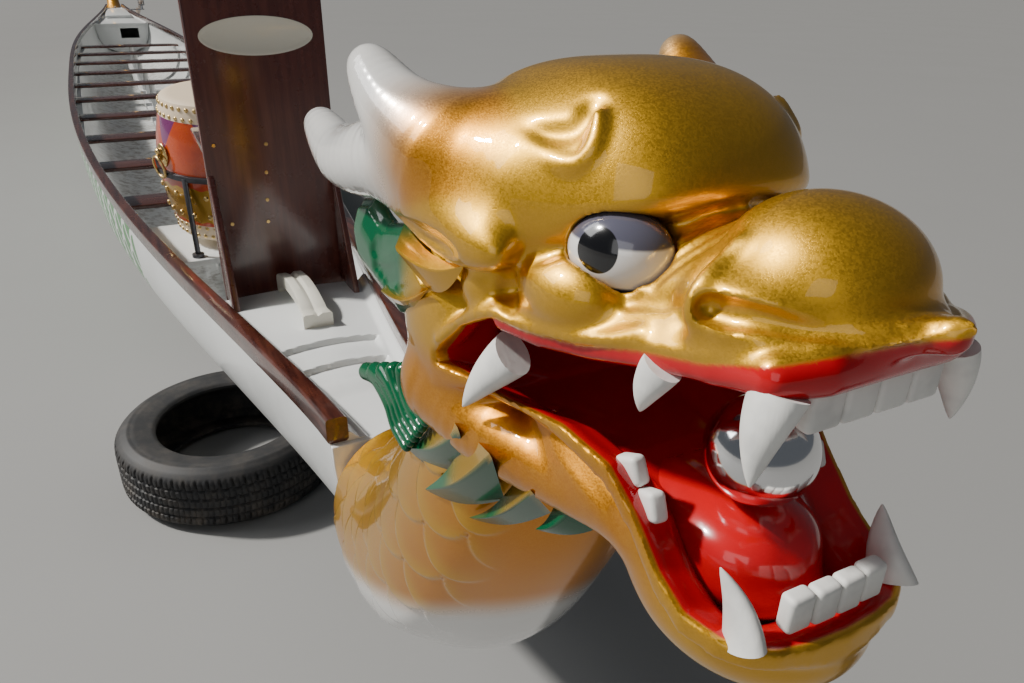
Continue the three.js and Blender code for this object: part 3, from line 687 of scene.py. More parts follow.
class Workshop:
    """The moves of modelling by hand, each on the one piece that is selected."""

    def only(self, *pieces: Piece) -> None:
        """Selects these pieces and nothing else; the first is active."""
        bpy.ops.object.select_all(action="DESELECT")
        for piece in pieces:
            piece.select_set(True)
        if pieces:
            bpy.context.view_layer.objects.active = pieces[0]

    def edit(self, piece: Piece, *moves: Callable[[], object],
             pick: Callable[[bpy.types.MeshPolygon], bool] | None = None,
             edges: Callable[[Vector, Vector], bool] | None = None) -> None:
        """Makes moves in edit mode.

        Args:
            piece: the piece.
            moves: calls made in order.
            pick: says which faces are selected; all are without it.
            edges: says which edges are selected, from their two ends, instead of faces.
        """
        self.only(piece)
        mesh = piece.data
        bpy.ops.object.mode_set(mode="EDIT")
        bpy.ops.mesh.select_mode(type="EDGE" if edges else "FACE")
        bpy.ops.mesh.select_all(action="SELECT" if not (pick or edges) else "DESELECT")
        bpy.ops.object.mode_set(mode="OBJECT")
        if pick:
            for face in mesh.polygons:
                face.select = pick(face)
        if edges:
            for edge in mesh.edges:
                ends = [mesh.vertices[i].co for i in edge.vertices]
                edge.select = edges(*ends)
        bpy.ops.object.mode_set(mode="EDIT")
        for move in moves:
            move()
        bpy.ops.object.mode_set(mode="OBJECT")

    def shape(self, piece: Piece, size: Point, middle: Point,
              turn: tuple[float, str] | None = None, about: Point = (0, 0, 0)) -> Piece:
        """Scales, moves and turns the whole mesh in edit mode.

        Args:
            piece: the piece.
            size: its scale along X, Y and Z.
            middle: where its middle goes.
            turn: an angle and the axis's letter.
            about: the point that it turns about.

        Returns:
            The piece.
        """
        moves: list[Callable[[], object]] = [
            lambda: bpy.ops.transform.resize(value=size, center_override=(0, 0, 0)),
            lambda: bpy.ops.transform.translate(value=middle),
        ]
        if turn is not None:
            angle, axis = turn
            moves.append(
                lambda: bpy.ops.transform.rotate(value=angle, orient_axis=axis, center_override=about)
            )
        self.edit(piece, *moves)
        return piece

    def block(self, low: Point, high: Point) -> Piece:
        """A box between two corners."""
        self.only()
        bpy.ops.mesh.primitive_cube_add(size=1)
        size = tuple(b - a for a, b in zip(low, high))
        middle = tuple((a + b) / 2 for a, b in zip(low, high))
        return self.shape(bpy.context.object, size, middle)

    def rod(self, start: Point, end: Point, radius: float, tip: float | None = None,
            sides: int = 24) -> Piece:
        """A round rod or cone between two points.

        Args:
            start, end: the middles of its ends.
            radius: its radius at the start.
            tip: its radius at the end, if another.
            sides: sides of its section.

        Returns:
            The rod.
        """
        self.only()
        a, b = Vector(start), Vector(end)
        bpy.ops.mesh.primitive_cone_add(
            vertices=sides, radius1=radius, radius2=radius if tip is None else tip, depth=(b - a).length
        )
        piece = bpy.context.object
        turn = Vector((0, 0, 1)).rotation_difference(b - a)
        piece.matrix_world = Matrix.Translation((a + b) / 2) @ turn.to_matrix().to_4x4()
        self.only(piece)
        bpy.ops.object.transform_apply()
        return piece

    def ball(self, middle: Point, radii: Point, rings: int = 32) -> Piece:
        """A round or flattened ball."""
        self.only()
        bpy.ops.mesh.primitive_uv_sphere_add(segments=rings * 2, ring_count=rings, radius=1)
        return self.shape(bpy.context.object, radii, middle)

    def ring(self, middle: Point, radius: float, thick: float, turn: tuple[float, str] | None = None,
             steps: int = 64) -> Piece:
        """A torus, turned about its middle.

        Args:
            middle: its middle.
            radius: from the middle to the tube's middle.
            thick: the tube's radius.
            turn: an angle and the axis's letter.
            steps: steps round the ring.

        Returns:
            The ring.
        """
        self.only()
        bpy.ops.mesh.primitive_torus_add(
            major_radius=radius, minor_radius=thick, major_segments=steps, minor_segments=12
        )
        return self.shape(bpy.context.object, (1, 1, 1), middle, turn, middle)

    def apply(self, piece: Piece, kind: str, **settings: object) -> None:
        """Adds a modifier and applies it."""
        self.only(piece)
        made = piece.modifiers.new(kind, kind)
        for key, value in settings.items():
            setattr(made, key, value)
        bpy.ops.object.modifier_apply(modifier=made.name)

    def bevel(self, piece: Piece, width: float, segments: int = 3, angle: float = 30) -> None:
        """Rounds the edges that are sharper than the angle."""
        self.apply(piece, "BEVEL", width=width, segments=segments, limit_method="ANGLE",
                   angle_limit=math.radians(angle), harden_normals=False)

    def smooth(self, piece: Piece, angle: float = 35) -> Piece:
        """Merges doubles, turns faces out and shades smooth but for sharp edges.

        Args:
            piece: the piece.
            angle: degrees past which an edge stays sharp.

        Returns:
            The piece.
        """
        self.edit(
            piece,
            lambda: bpy.ops.mesh.remove_doubles(threshold=1e-5),
            lambda: bpy.ops.mesh.normals_make_consistent(inside=False),
        )
        self.only(piece)
        bpy.ops.object.shade_smooth_by_angle(angle=math.radians(angle))
        return piece

    def join(self, pieces: Sequence[Piece]) -> Piece:
        """Joins pieces into the first."""
        self.only(*pieces)
        bpy.ops.object.join()
        return pieces[0]

    def copies(self, template: Piece, places: Sequence[Matrix]) -> Piece:
        """One piece made of copies of a template, which is used up.

        Args:
            template: what is repeated.
            places: where each copy goes.

        Returns:
            The joined copies.
        """
        made = []
        for place in places:
            copy = template.copy()
            copy.data = template.data.copy()
            copy.data.transform(place)
            bpy.context.collection.objects.link(copy)
            made.append(copy)
        bpy.data.objects.remove(template)
        return self.join(made)

    def refined(self, node: str, bevel: float, finish: Finish, body: str,
                segments: int = 3) -> Piece:
        """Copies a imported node, dissolves its facets and rounds its edges.

        Args:
            node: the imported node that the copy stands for.
            bevel: width of the rounding.
            finish: the copy's finish.
            body: the body that it rides on.
            segments: steps of the rounding.

        Returns:
            The dressed copy.
        """
        source = next(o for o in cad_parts.values() if o.name == node)
        copy = bpy.data.objects.new(node + "_fair", source.data.copy())
        bpy.context.collection.objects.link(copy)
        self.edit(
            copy,
            lambda: bpy.ops.mesh.remove_doubles(threshold=1e-4),
            lambda: bpy.ops.mesh.dissolve_limited(angle_limit=math.radians(1.5)),
            lambda: bpy.ops.mesh.normals_make_consistent(inside=False),
        )
        self.bevel(copy, bevel, segments)
        self.smooth(copy)
        copy.data.transform(Matrix.Translation((-SHIFT, 0, 0)))
        return shown(copy, node + "_fair", body, finish, [node])


SHOP = Workshop()


@dataclass
class Skin:
    """A mesh in the making: points, faces and, where wanted, a map for each point."""

    points: np.ndarray
    faces: list[tuple[int, ...]]
    flat: np.ndarray | None = None

    @classmethod
    def loft(cls, rings: np.ndarray, flat: np.ndarray | None = None, caps: bool = True,
             around: bool = True) -> "Skin":
        """A skin through rings of equally many points.

        Args:
            rings: points of shape (ring, step, 3).
            flat: map of shape (ring, step, 2).
            caps: closes both ends.
            around: closes each ring on itself.

        Returns:
            The skin.
        """
        count, steps = rings.shape[:2]
        here = np.arange(count * steps).reshape(count, steps)
        beside = np.roll(here, -1, axis=1)
        if not around:
            here, beside = here[:, :-1], beside[:, :-1]
        quads = np.stack([here[:-1], beside[:-1], beside[1:], here[1:]], axis=-1).reshape(-1, 4)
        faces = [tuple(q) for q in quads.tolist()]
        points = rings.reshape(-1, 3)
        if caps:
            hubs = [rings[0].mean(axis=0), rings[-1].mean(axis=0)]
            first, last = len(points), len(points) + 1
            points = np.vstack([points, hubs])
            end = (count - 1) * steps
            for i in range(steps):
                j = (i + 1) % steps
                faces.append((first, j, i))
                faces.append((last, end + i, end + j))
            if flat is not None:
                flat = np.vstack([flat.reshape(-1, 2), [flat[0].mean(0), flat[-1].mean(0)]])
        return cls(points, faces, None if flat is None else flat.reshape(-1, 2))

    def close_ends(self, rings: int, steps: int) -> None:
        """Closes both ends of a flat tube, whose rings go over its top and come back under it.

        Args:
            rings: how many rings the tube has.
            steps: how many points a ring has.
        """
        for start in (0, (rings - 1) * steps):
            for i in range(steps // 2 - 1):
                back = start + steps - 1 - i
                self.faces.append((start + i, start + i + 1, back - 1, back))

    def piece(self, label: str = "Run") -> Piece:
        """Makes the skin an object and turns its faces out.

        Args:
            label: name of its UV map, where it has one.

        Returns:
            The object.
        """
        mesh = bpy.data.meshes.new("skin")
        mesh.from_pydata(self.points.tolist(), [], self.faces)
        mesh.update()
        if self.flat is not None:
            layer = mesh.uv_layers.new(name=label)
            corners = np.empty(len(mesh.loops), dtype=np.int32)
            mesh.loops.foreach_get("vertex_index", corners)
            layer.data.foreach_set("uv", self.flat[corners].ravel().astype(np.float32))
        made = bpy.data.objects.new("skin", mesh)
        bpy.context.collection.objects.link(made)
        SHOP.edit(made, lambda: bpy.ops.mesh.normals_make_consistent(inside=False))
        SHOP.only(made)
        bpy.ops.object.shade_smooth_by_angle(angle=math.radians(40))
        return made


def share(piece: Piece, name: str, values: np.ndarray) -> None:
    """Stores a value at each point of a piece for its paint."""
    layer = piece.data.attributes.new(name, "FLOAT", "POINT")
    layer.data.foreach_set("value", values.astype(np.float32))


def shares(piece: Piece, **given: np.ndarray) -> None:
    """Stores the flake paint's four shares, nought where not given."""
    for name in ("bare", "leaf", "ember", "throat"):
        share(piece, name, given.get(name, np.zeros(len(piece.data.vertices))))


def facing(piece: Piece) -> np.ndarray:
    """Reads how far the surface looks up at each of a piece's points."""
    return np.array([point.normal.z for point in piece.data.vertices])


def corners_of(piece: Piece) -> np.ndarray:
    """The piece's points as an array."""
    flat = np.empty(len(piece.data.vertices) * 3, dtype=np.float32)
    piece.data.vertices.foreach_get("co", flat)
    return flat.reshape(-1, 3).astype(float)


def step(low: float, high: float, value: np.ndarray) -> np.ndarray:
    """Smooth step from 0 at low to 1 at high."""
    t = np.clip((value - low) / (high - low), 0, 1)
    return t * t * (3 - 2 * t)


# Modelling by distance: masses are added and cut one after the other, as in clay

Space = tuple[np.ndarray, np.ndarray, np.ndarray]
ROUGHLY = 4  # cells of the fine grid to one of the rough grid


def blend(a: np.ndarray, b: np.ndarray, k: float) -> np.ndarray:
    """Union of two masses with a fillet of about k."""
    h = np.clip(0.5 + 0.5 * (b - a) / k, 0, 1)
    return b + (a - b) * h - k * h * (1 - h)


def carve(a: np.ndarray, b: np.ndarray, k: float) -> np.ndarray:
    """Takes mass b out of mass a."""
    return -blend(-a, b, k)


def lump(space: Space, at: Point, radii: Point, pitch: float = 0, yaw: float = 0) -> np.ndarray:
    """An ellipsoid, its nose pitched up and turned to port by degrees.

    Args:
        space: the grid's points.
        at: its middle.
        radii: its half sizes.
        pitch, yaw: degrees up and to port.

    Returns:
        The distance from the form, less than 0 inside.
    """
    x, y, z = (space[i] - at[i] for i in range(3))
    if yaw:
        a = math.radians(yaw)
        x, y = x * math.cos(a) + y * math.sin(a), y * math.cos(a) - x * math.sin(a)
    if pitch:
        a = math.radians(pitch)
        x, z = x * math.cos(a) + z * math.sin(a), z * math.cos(a) - x * math.sin(a)
    p, q, r = x / radii[0], y / radii[1], z / radii[2]
    near = np.sqrt(p * p + q * q + r * r)
    slope = np.sqrt((p / radii[0]) ** 2 + (q / radii[1]) ** 2 + (r / radii[2]) ** 2) + 1e-9
    return near * (near - 1) / slope


def boxy(space: Space, at: Point, radii: Point, power: float, pitch: float = 0) -> np.ndarray:
    """An ellipsoid with squarer shoulders.

    Args:
        space: the grid's points.
        at: its middle.
        radii: its half sizes.
        power: 2 is round, more is squarer.
        pitch: degrees up.

    Returns:
        The distance from the form, less than 0 inside.
    """
    x, y, z = (space[i] - at[i] for i in range(3))
    a = math.radians(pitch)
    x, z = x * math.cos(a) + z * math.sin(a), z * math.cos(a) - x * math.sin(a)
    total = sum(np.abs(c / r) ** power for c, r in zip((x, y, z), radii))
    return (total ** (1 / power) - 1) * min(radii)


def strand(space: Space, points: Sequence[Point], radii: float | Sequence[float]) -> np.ndarray:
    """A bent tube through points, its radius given once or at each point.

    Args:
        space: the grid's points.
        points: the middle line.
        radii: the radius or radii.

    Returns:
        The distance from the form, less than 0 inside.
    """
    sizes = [radii] * len(points) if isinstance(radii, float) else radii
    result = None
    for (a, b), ra, rb in zip(zip(points, points[1:]), sizes, sizes[1:]):
        run = [q - p for p, q in zip(a, b)]
        offset = [space[i] - a[i] for i in range(3)]
        along = sum(o * r for o, r in zip(offset, run)) / (sum(r * r for r in run) + 1e-12)
        along = np.clip(along, 0, 1)
        gap = sum((o - along * r) ** 2 for o, r in zip(offset, run))
        d = np.sqrt(gap) - (ra + (rb - ra) * along)
        result = d if result is None else np.minimum(result, d)
    return result


def fair(padded: np.ndarray, count: int) -> list[np.ndarray]:
    """Rows of numbers on a Catmull-Rom curve.

    Args:
        padded: the given rows, with one more before the first and after the last.
        count: rows made from each given one to the next.

    Returns:
        The rows that are made, and the last of the given ones.
    """
    made = []
    for i in range(1, len(padded) - 2):
        p0, p1, p2, p3 = padded[i - 1 : i + 3]
        for t in np.linspace(0, 1, count, endpoint=False):
            made.append(0.5 * (2 * p1 + (p2 - p0) * t + (2 * p0 - 5 * p1 + 4 * p2 - p3) * t * t
                               + (3 * p1 - p0 - 3 * p2 + p3) * t ** 3))
    return [*made, padded[-2]]


def curl(points: Sequence[Point], count: int) -> list[Point]:
    """A smooth run of points through the given ones, count for each."""
    given = np.array([points[0], *points, points[-1]], dtype=float)
    return [tuple(row) for row in fair(given, count)]


def cast(low: Point, high: Point, cell: float, field: Callable[[Space], np.ndarray],
         mirror: bool = False) -> Piece:
    """Turns a distance field into a mesh: roughly first, then finely where the surface passes.

    Args:
        low: lowest corner of the room.
        high: highest corner.
        cell: size of the grid's cells.
        field: gives the distances in a space.
        mirror: works the field out for port only and mirrors it.

    Returns:
        The closed piece.
    """
    start = np.array([0.0 if mirror and i == 1 else low[i] for i in range(3)])
    wide = cell * ROUGHLY
    counts = np.ceil((np.array(high) - start) / wide).astype(int)
    centres = [a + (np.arange(n) + 0.5) * wide for a, n in zip(start, counts)]
    values = field(tuple(np.meshgrid(*centres, indexing="ij")))
    for axis in range(3):
        values = values.repeat(ROUGHLY, axis)
    near = np.nonzero(np.abs(values) < 2.2 * wide)
    spots = [a + found * cell for a, found in zip(start, near)]
    values[near] = np.concatenate([
        field(tuple(part)) for part in zip(*(np.array_split(s, 8) for s in spots))
    ])
    if mirror:
        values = np.concatenate([values[:, :0:-1], values], axis=1)
        start[1] = -cell * (counts[1] * ROUGHLY - 1)
    grid = openvdb.FloatGrid(1.0)
    grid.copyFromArray(np.clip(values / cell, -3, 3).astype(np.float32))
    points, quads = grid.convertToQuads(isovalue=0)
    piece = Skin(points * cell + start, [tuple(q) for q in quads.tolist()]).piece()
    SHOP.edit(piece, lambda: bpy.ops.mesh.vertices_smooth(factor=0.5, repeat=2))
    return piece


def edge(path: Sequence[Point], x: np.ndarray, column: int) -> np.ndarray:
    """Height or half width of an edge at stations x."""
    rows = sorted(path)
    return np.interp(x, [r[0] for r in rows], [r[column] for r in rows])


def aside(u: np.ndarray, v: np.ndarray, line: Sequence[tuple[float, float]]) -> np.ndarray:
    """Distance in a plane from each point to a line of straight stretches.

    Args:
        u: first coordinate of the points.
        v: second coordinate.
        line: the line's corners in order.

    Returns:
        The distances.
    """
    gap = np.full(np.shape(u), np.inf)
    for (au, av), (bu, bv) in zip(line, line[1:]):
        run, rise = bu - au, bv - av
        along = np.clip(((u - au) * run + (v - av) * rise) / (run ** 2 + rise ** 2), 0, 1)
        gap = np.minimum(gap, np.hypot(u - au - along * run, v - av - along * rise))
    return gap


def within(space: Space, path: Sequence[Point]) -> np.ndarray:
    """How far inside the plan outline of an edge each point lies; the path runs from the nose aft."""
    x, y = space[0], np.abs(space[1])
    gap = aside(x, y, [point[:2] for point in path])
    return np.where((y < edge(path, x, 1)) & (x < path[0][0]), gap, -gap)


def relief(space: Space, form: np.ndarray, points: Sequence[Point], height: float,
           width: float) -> np.ndarray:
    """Raises a ridge on a form or sinks a groove in it.

    Args:
        space: where the form's distances are taken.
        form: the form's distances.
        points: points on the surface that the ridge follows.
        height: how high it stands, below nought for a groove.
        width: how far it spreads to each side.

    Returns:
        The form's distances with the ridge.
    """
    near = strand(space, curl(points, 3), 0.0) / width
    return form - height * np.exp(-near * near)


def drawn(values: Sequence[float], count: int) -> list[float]:
    """Radii for the points that curl makes of as many given points."""
    last = len(values) - 1
    return list(np.interp(np.linspace(0, last, last * count + 1), range(last + 1), values))


# The boat

EYE_AT: Point = (6.984, 0.071, 1.203)  # middle of the port eye


@dataclass(frozen=True)
class Lines:
    """The hull's lines, metres from midship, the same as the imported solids'."""

    half_length: float = 6.245
    half_beam: float = 0.580
    end_half: float = 0.120
    sheer_mid: float = 0.470
    sheer_rise: float = 0.144
    keel_flat: float = 3.600
    keel_rise: float = 0.360
    wall: float = 0.012
    deck_drop: float = 0.008

    def along(self, x: np.ndarray) -> np.ndarray:
        """Share of the half length."""
        return np.minimum(np.abs(x) / self.half_length, 1)

    def half(self, x: np.ndarray) -> np.ndarray:
        """Half breadth at the gunwale."""
        a = self.along(x)
        return self.end_half + (self.half_beam - self.end_half) * (1 - a ** 2.9) ** 1.3

    def sheer(self, x: np.ndarray) -> np.ndarray:
        """Height of the hull's edge."""
        return self.sheer_mid + self.sheer_rise * self.along(x) ** 4

    def keel(self, x: np.ndarray) -> np.ndarray:
        """Height of the bottom."""
        out = np.maximum(0, (np.abs(x) - self.keel_flat) / (self.half_length - self.keel_flat))
        return self.keel_rise * out ** 1.2

    def section(self, x: np.ndarray, v: np.ndarray, inset: float) -> np.ndarray:
        """Points of the skin at x, v from 0 at the starboard edge to 1 at the port edge.

        Args:
            x: stations.
            v: shares round the section.
            inset: how far inside the skin.

        Returns:
            The points.
        """
        angle = (v - 0.5) * math.pi
        power = 2 / (3.2 - self.along(x) ** 2)
        half = self.half(x) - inset
        deep = self.sheer(x) - self.keel(x) - inset
        y = half * np.sign(angle) * np.abs(np.sin(angle)) ** power
        z = self.sheer(x) - deep * np.maximum(np.cos(angle), 0) ** power
        return np.stack(np.broadcast_arrays(x, y, z), axis=-1)

    def deck(self, x: np.ndarray) -> np.ndarray:
        """Height of the deck's edge."""
        return self.sheer(x) - self.deck_drop


LINES = Lines()
DECK_GAP = 0.0015  # from a deck's edge to the hull's inside
DECK_THICK = 0.012


def deck_skin(x: np.ndarray, s: np.ndarray, rise: np.ndarray) -> Piece:
    """A deck's top and underside as one skin.

    Args:
        x: the deck's stations as a column.
        s: places across it as a row, from -1 at starboard to 1 at port.
        rise: height of the top over the deck's edge line, by station and place.

    Returns:
        The closed deck.
    """
    half = LINES.half(x) - LINES.wall - DECK_GAP
    top = np.broadcast_arrays(x, s * half, LINES.deck(x) + rise)
    under = np.broadcast_arrays(x, s[:, ::-1] * half, LINES.deck(x) - DECK_THICK)
    rings = np.concatenate([np.stack(top, axis=-1), np.stack(under, axis=-1)], axis=1)
    skin = Skin.loft(rings, caps=False)
    skin.close_ends(*rings.shape[:2])
    return skin.piece()


@dataclass
class Shell:
    """The hull's skin, white with its scales."""

    stations: int = 200
    girth: int = 96
    lines: Lines = LINES

    def build(self) -> None:
        """One closed skin: outside, rims and inside."""
        x = np.linspace(-self.lines.half_length, self.lines.half_length, self.stations + 1)[:, None]
        v = np.linspace(0, 1, self.girth + 1)[None, :]
        outer = self.lines.section(x, v, 0.0)
        inner = self.lines.section(x, v[:, ::-1], self.lines.wall)
        runs = np.linalg.norm(np.diff(outer, axis=1), axis=2)
        down = np.concatenate([np.zeros((len(x), 1)), np.cumsum(runs, axis=1)], axis=1)
        down = np.minimum(down, down[:, -1:] - down)
        away = np.full_like(down, 9.0)
        rings = np.concatenate([outer, inner], axis=1)
        flat = np.stack([np.concatenate([down, away], axis=1), rings[:, :, 0]], axis=-1)
        skin = Skin.loft(rings, flat, caps=False)
        skin.close_ends(*rings.shape[:2])
        shown(skin.piece(), "hull_skin", BOAT, HULL, ["hull_shell"])
        for node in ("bow_end_board", "stern_end_board"):
            SHOP.refined(node, 0.003, WHITE, BOAT)


@dataclass
class Caps:
    """The mahogany gunwale caps."""

    width: float = 0.038
    height: float = 0.050
    proud: float = 0.004
    lift: float = 0.0003
    radius: float = 0.007
    stations: int = 220
    lines: Lines = LINES

    def build(self) -> None:
        """One rounded bar a side, with square ends."""
        r, w, h = self.radius, self.width, self.height
        profile = []
        for cx, cz, start in ((r, r, 180), (r, h - r, 90), (w - r, h - r, 0), (w - r, r, 270)):
            turns = [math.radians(start + degrees) for degrees in (0, 22.5, 45, 67.5, 90)]
            profile += [(cx + r * math.cos(a), cz + r * math.sin(a)) for a in turns]
        order = sorted(profile, key=lambda p: math.atan2(p[1] - h / 2, p[0] - w / 2))
        inward = np.array([p[0] for p in order])
        up = np.array([p[1] for p in order])
        x = np.linspace(-self.lines.half_length, self.lines.half_length, self.stations + 1)
        for side in Side:
            y = side.value * (self.lines.half(x)[:, None] + self.proud - inward[None, :])
            z = self.lines.sheer(x)[:, None] + self.lift + up[None, :]
            rings = np.stack([np.broadcast_to(x[:, None], y.shape), y, z], axis=-1)
            piece = Skin.loft(rings).piece()
            shown(piece, f"gunwale_{side.word}", BOAT, LENGTHWISE,
                  [f"gunwale_cap_{side.word}"])


@dataclass
class Interior:
    """Benches, ledgers, keelson, bulkheads and the drum's board."""

    benches: int = 10

    def build(self) -> None:
        """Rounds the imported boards' edges; each bench has its own grain."""
        for i in range(self.benches):
            SHOP.refined(f"bench_{i + 1:02d}", 0.006, CROSSWISE, BOAT, segments=4)
        for node in ("seat_ledger_port", "seat_ledger_starboard", "keelson", "bow_bulkhead",
                     "stern_bulkhead", "drum_board"):
            SHOP.refined(node, 0.003, WHITE, BOAT)


@dataclass
class BowDeck:
    """The cambered bow deck: raised edges, two louvre steps and a sunk channel to the stem."""

    aft: float = 5.360
    fore: float = 6.244
    camber: float = 0.012
    flange: float = 0.020
    flange_width: float = 0.034
    steps_at: tuple[float, float] = (5.770, 5.900)
    step_fall: float = 0.014
    channel: float = 0.016
    rows: int = 260
    columns: int = 90
    lines: Lines = LINES

    def height(self, x: np.ndarray, s: np.ndarray) -> np.ndarray:
        """Height of the deck over its edge line, s from -1 at starboard to 1 at port.

        Args:
            x: stations.
            s: shares of the half width.

        Returns:
            The heights.
        """
        half = self.lines.half(x) - self.lines.wall
        edge = (1 - np.abs(s)) * half
        crown = self.camber * (1 - s * s)
        lip = self.flange * (1 - step(self.flange_width * 0.6, self.flange_width * 1.3, edge))
        bow = 0.020 * s * s
        fall = sum(self.step_fall * step(at + bow - 0.003, at + bow + 0.003, x) for at in self.steps_at)
        climb = sum(self.step_fall * step(at + bow, at + bow + 0.125, x) for at in self.steps_at)
        middle = step(0.045, 0.060, edge)
        inner = self.channel * step(5.98, 6.05, x) * step(0.052, 0.066, edge)
        return crown + lip - (fall - climb * 0.9) * middle - inner

    def build(self) -> None:
        """Top and underside as one skin."""
        x = np.linspace(self.aft, self.fore, self.rows)[:, None]
        s = np.linspace(-1, 1, self.columns)[None, :]
        shown(deck_skin(x, s, self.height(x, s)), "bow_deck_skin", BOAT, DECK_WHITE,
              ["bow_deck"])


@dataclass
class BowHandle:
    """The lifting handle: a stout cream bar with a soft groove along its middle.

    Its section is given by shares of the half width and of the height.
    """

    aft: float = 5.366
    fore: float = 5.680
    half: float = 0.030
    thick: float = 0.022
    rise: float = 0.066
    section: tuple[tuple[float, float], ...] = (
        (-1, 0.8), (-0.97, 0.95), (-0.85, 1), (-0.3, 1), (-0.16, 0.93), (0, 0.86), (0.16, 0.93), (0.3, 1),
        (0.85, 1), (0.97, 0.95), (1, 0.8), (1, 0.1), (0.9, 0), (0, 0), (-0.9, 0), (-1, 0.1),
    )
    steps: int = 48
    lines: Lines = LINES

    def build(self) -> None:
        """An arch swept from the deck's edge to its foot."""
        t = np.linspace(0, 1, self.steps)
        x = self.aft + (self.fore - self.aft) * t
        base = self.lines.deck(x) + 0.010
        crown = base + self.rise * (0.55 + 0.45 * np.sin(np.pi * np.clip(t + 0.12, 0, 1)) ** 0.7)
        arch = np.clip(np.sin(np.pi * np.clip(t * 1.04 - 0.02, 0, 1)), 0, 1) ** 0.35
        foot = base + (self.rise - self.thick) * arch
        foot = np.minimum(foot - 0.010, crown - self.thick)
        across, up = np.array(self.section).T
        flare = 1 + 0.18 * (2 * t - 1) ** 6
        y = across[None, :] * self.half * flare[:, None]
        z = foot[:, None] + up[None, :] * (crown - foot)[:, None]
        rings = np.stack([np.broadcast_to(x[:, None], y.shape), y, z], axis=-1)
        piece = Skin.loft(rings).piece()
        SHOP.only(piece)
        bpy.ops.object.shade_smooth_by_angle(angle=math.radians(25))
        shown(piece, "bow_handle_arch", BOAT, CREAM, ["bow_handle"])


@dataclass
class DrummerSeat:
    """The tall board behind the bow deck with its seat, brackets, fins, screws and blank plaque."""

    foot: float = 5.330
    pivot: float = 0.540
    lean: float = 2.0
    plaque: tuple[float, float, float] = (1.194, 0.135, 0.045)
    screws: tuple[tuple[float, float], ...] = (
        (-0.138, 0.942), (-0.011, 0.936), (0.119, 0.931), (-0.019, 0.864), (-0.026, 0.793),
        (-0.031, 0.735), (-0.122, 0.739),
    )

    def on_board(self) -> Matrix:
        """Takes the board's own frame to the hull's: X off its face, Z up it from the ground."""
        turn = Matrix.Rotation(-math.radians(self.lean), 4, "Y")
        down = Matrix.Translation((0, 0, -self.pivot))
        return Matrix.Translation((self.foot, 0, self.pivot)) @ turn @ down

    def build(self) -> None:
        """Rounds the boards and adds fixings and the plaque."""
        SHOP.refined("seat_board", 0.004, UPRIGHT, BOAT)
        SHOP.refined("seat_plate", 0.006, CROSSWISE, BOAT)
        for side in Side:
            SHOP.refined(f"seat_fin_{side.word}", 0.003, UPRIGHT, BOAT)
            SHOP.refined(f"seat_bracket_{side.word}", 0.003, UPRIGHT, BOAT)
        screw = SHOP.rod((0, 0, 0), (0.0022, 0, 0), 0.0052, 0.0042, 20)
        slots = SHOP.block((0.0016, -0.0036, -0.0007), (0.0026, 0.0036, 0.0007))
        screw = SHOP.join([screw, slots])
        on_board = self.on_board()
        places = [on_board @ Matrix.Translation((0, y, z)) for y, z in self.screws]
        screws = SHOP.smooth(SHOP.copies(screw, places))
        shown(screws, "seat_screws", BOAT, BRASS)
        z, wide, high = self.plaque
        SHOP.only()
        bpy.ops.mesh.primitive_cylinder_add(vertices=96, radius=1, depth=1)
        plate = bpy.context.object
        SHOP.shape(plate, (high, wide, 0.0032), (0, 0, 0.0019), (math.radians(90), "Y"))
        SHOP.edit(
            plate,
            lambda: bpy.ops.mesh.inset(thickness=0.006, depth=0),
            lambda: bpy.ops.mesh.inset(thickness=0.0015, depth=-0.001),
            pick=lambda face: face.normal.x > 0.9 and len(face.vertices) > 8,
        )
        self.stand(plate, on_board @ Matrix.Translation((0, 0, z)))
        SHOP.smooth(plate)
        shown(plate, "seat_plaque_plate", BOAT, CREAM, ["seat_plaque"])

    def stand(self, piece: Piece, place: Matrix) -> None:
        """Puts a piece that was made at the origin in its place; X must point off the board."""
        low = min(corner.co.x for corner in piece.data.vertices)
        piece.data.transform(place @ Matrix.Translation((-low + 0.0003, 0, 0)))


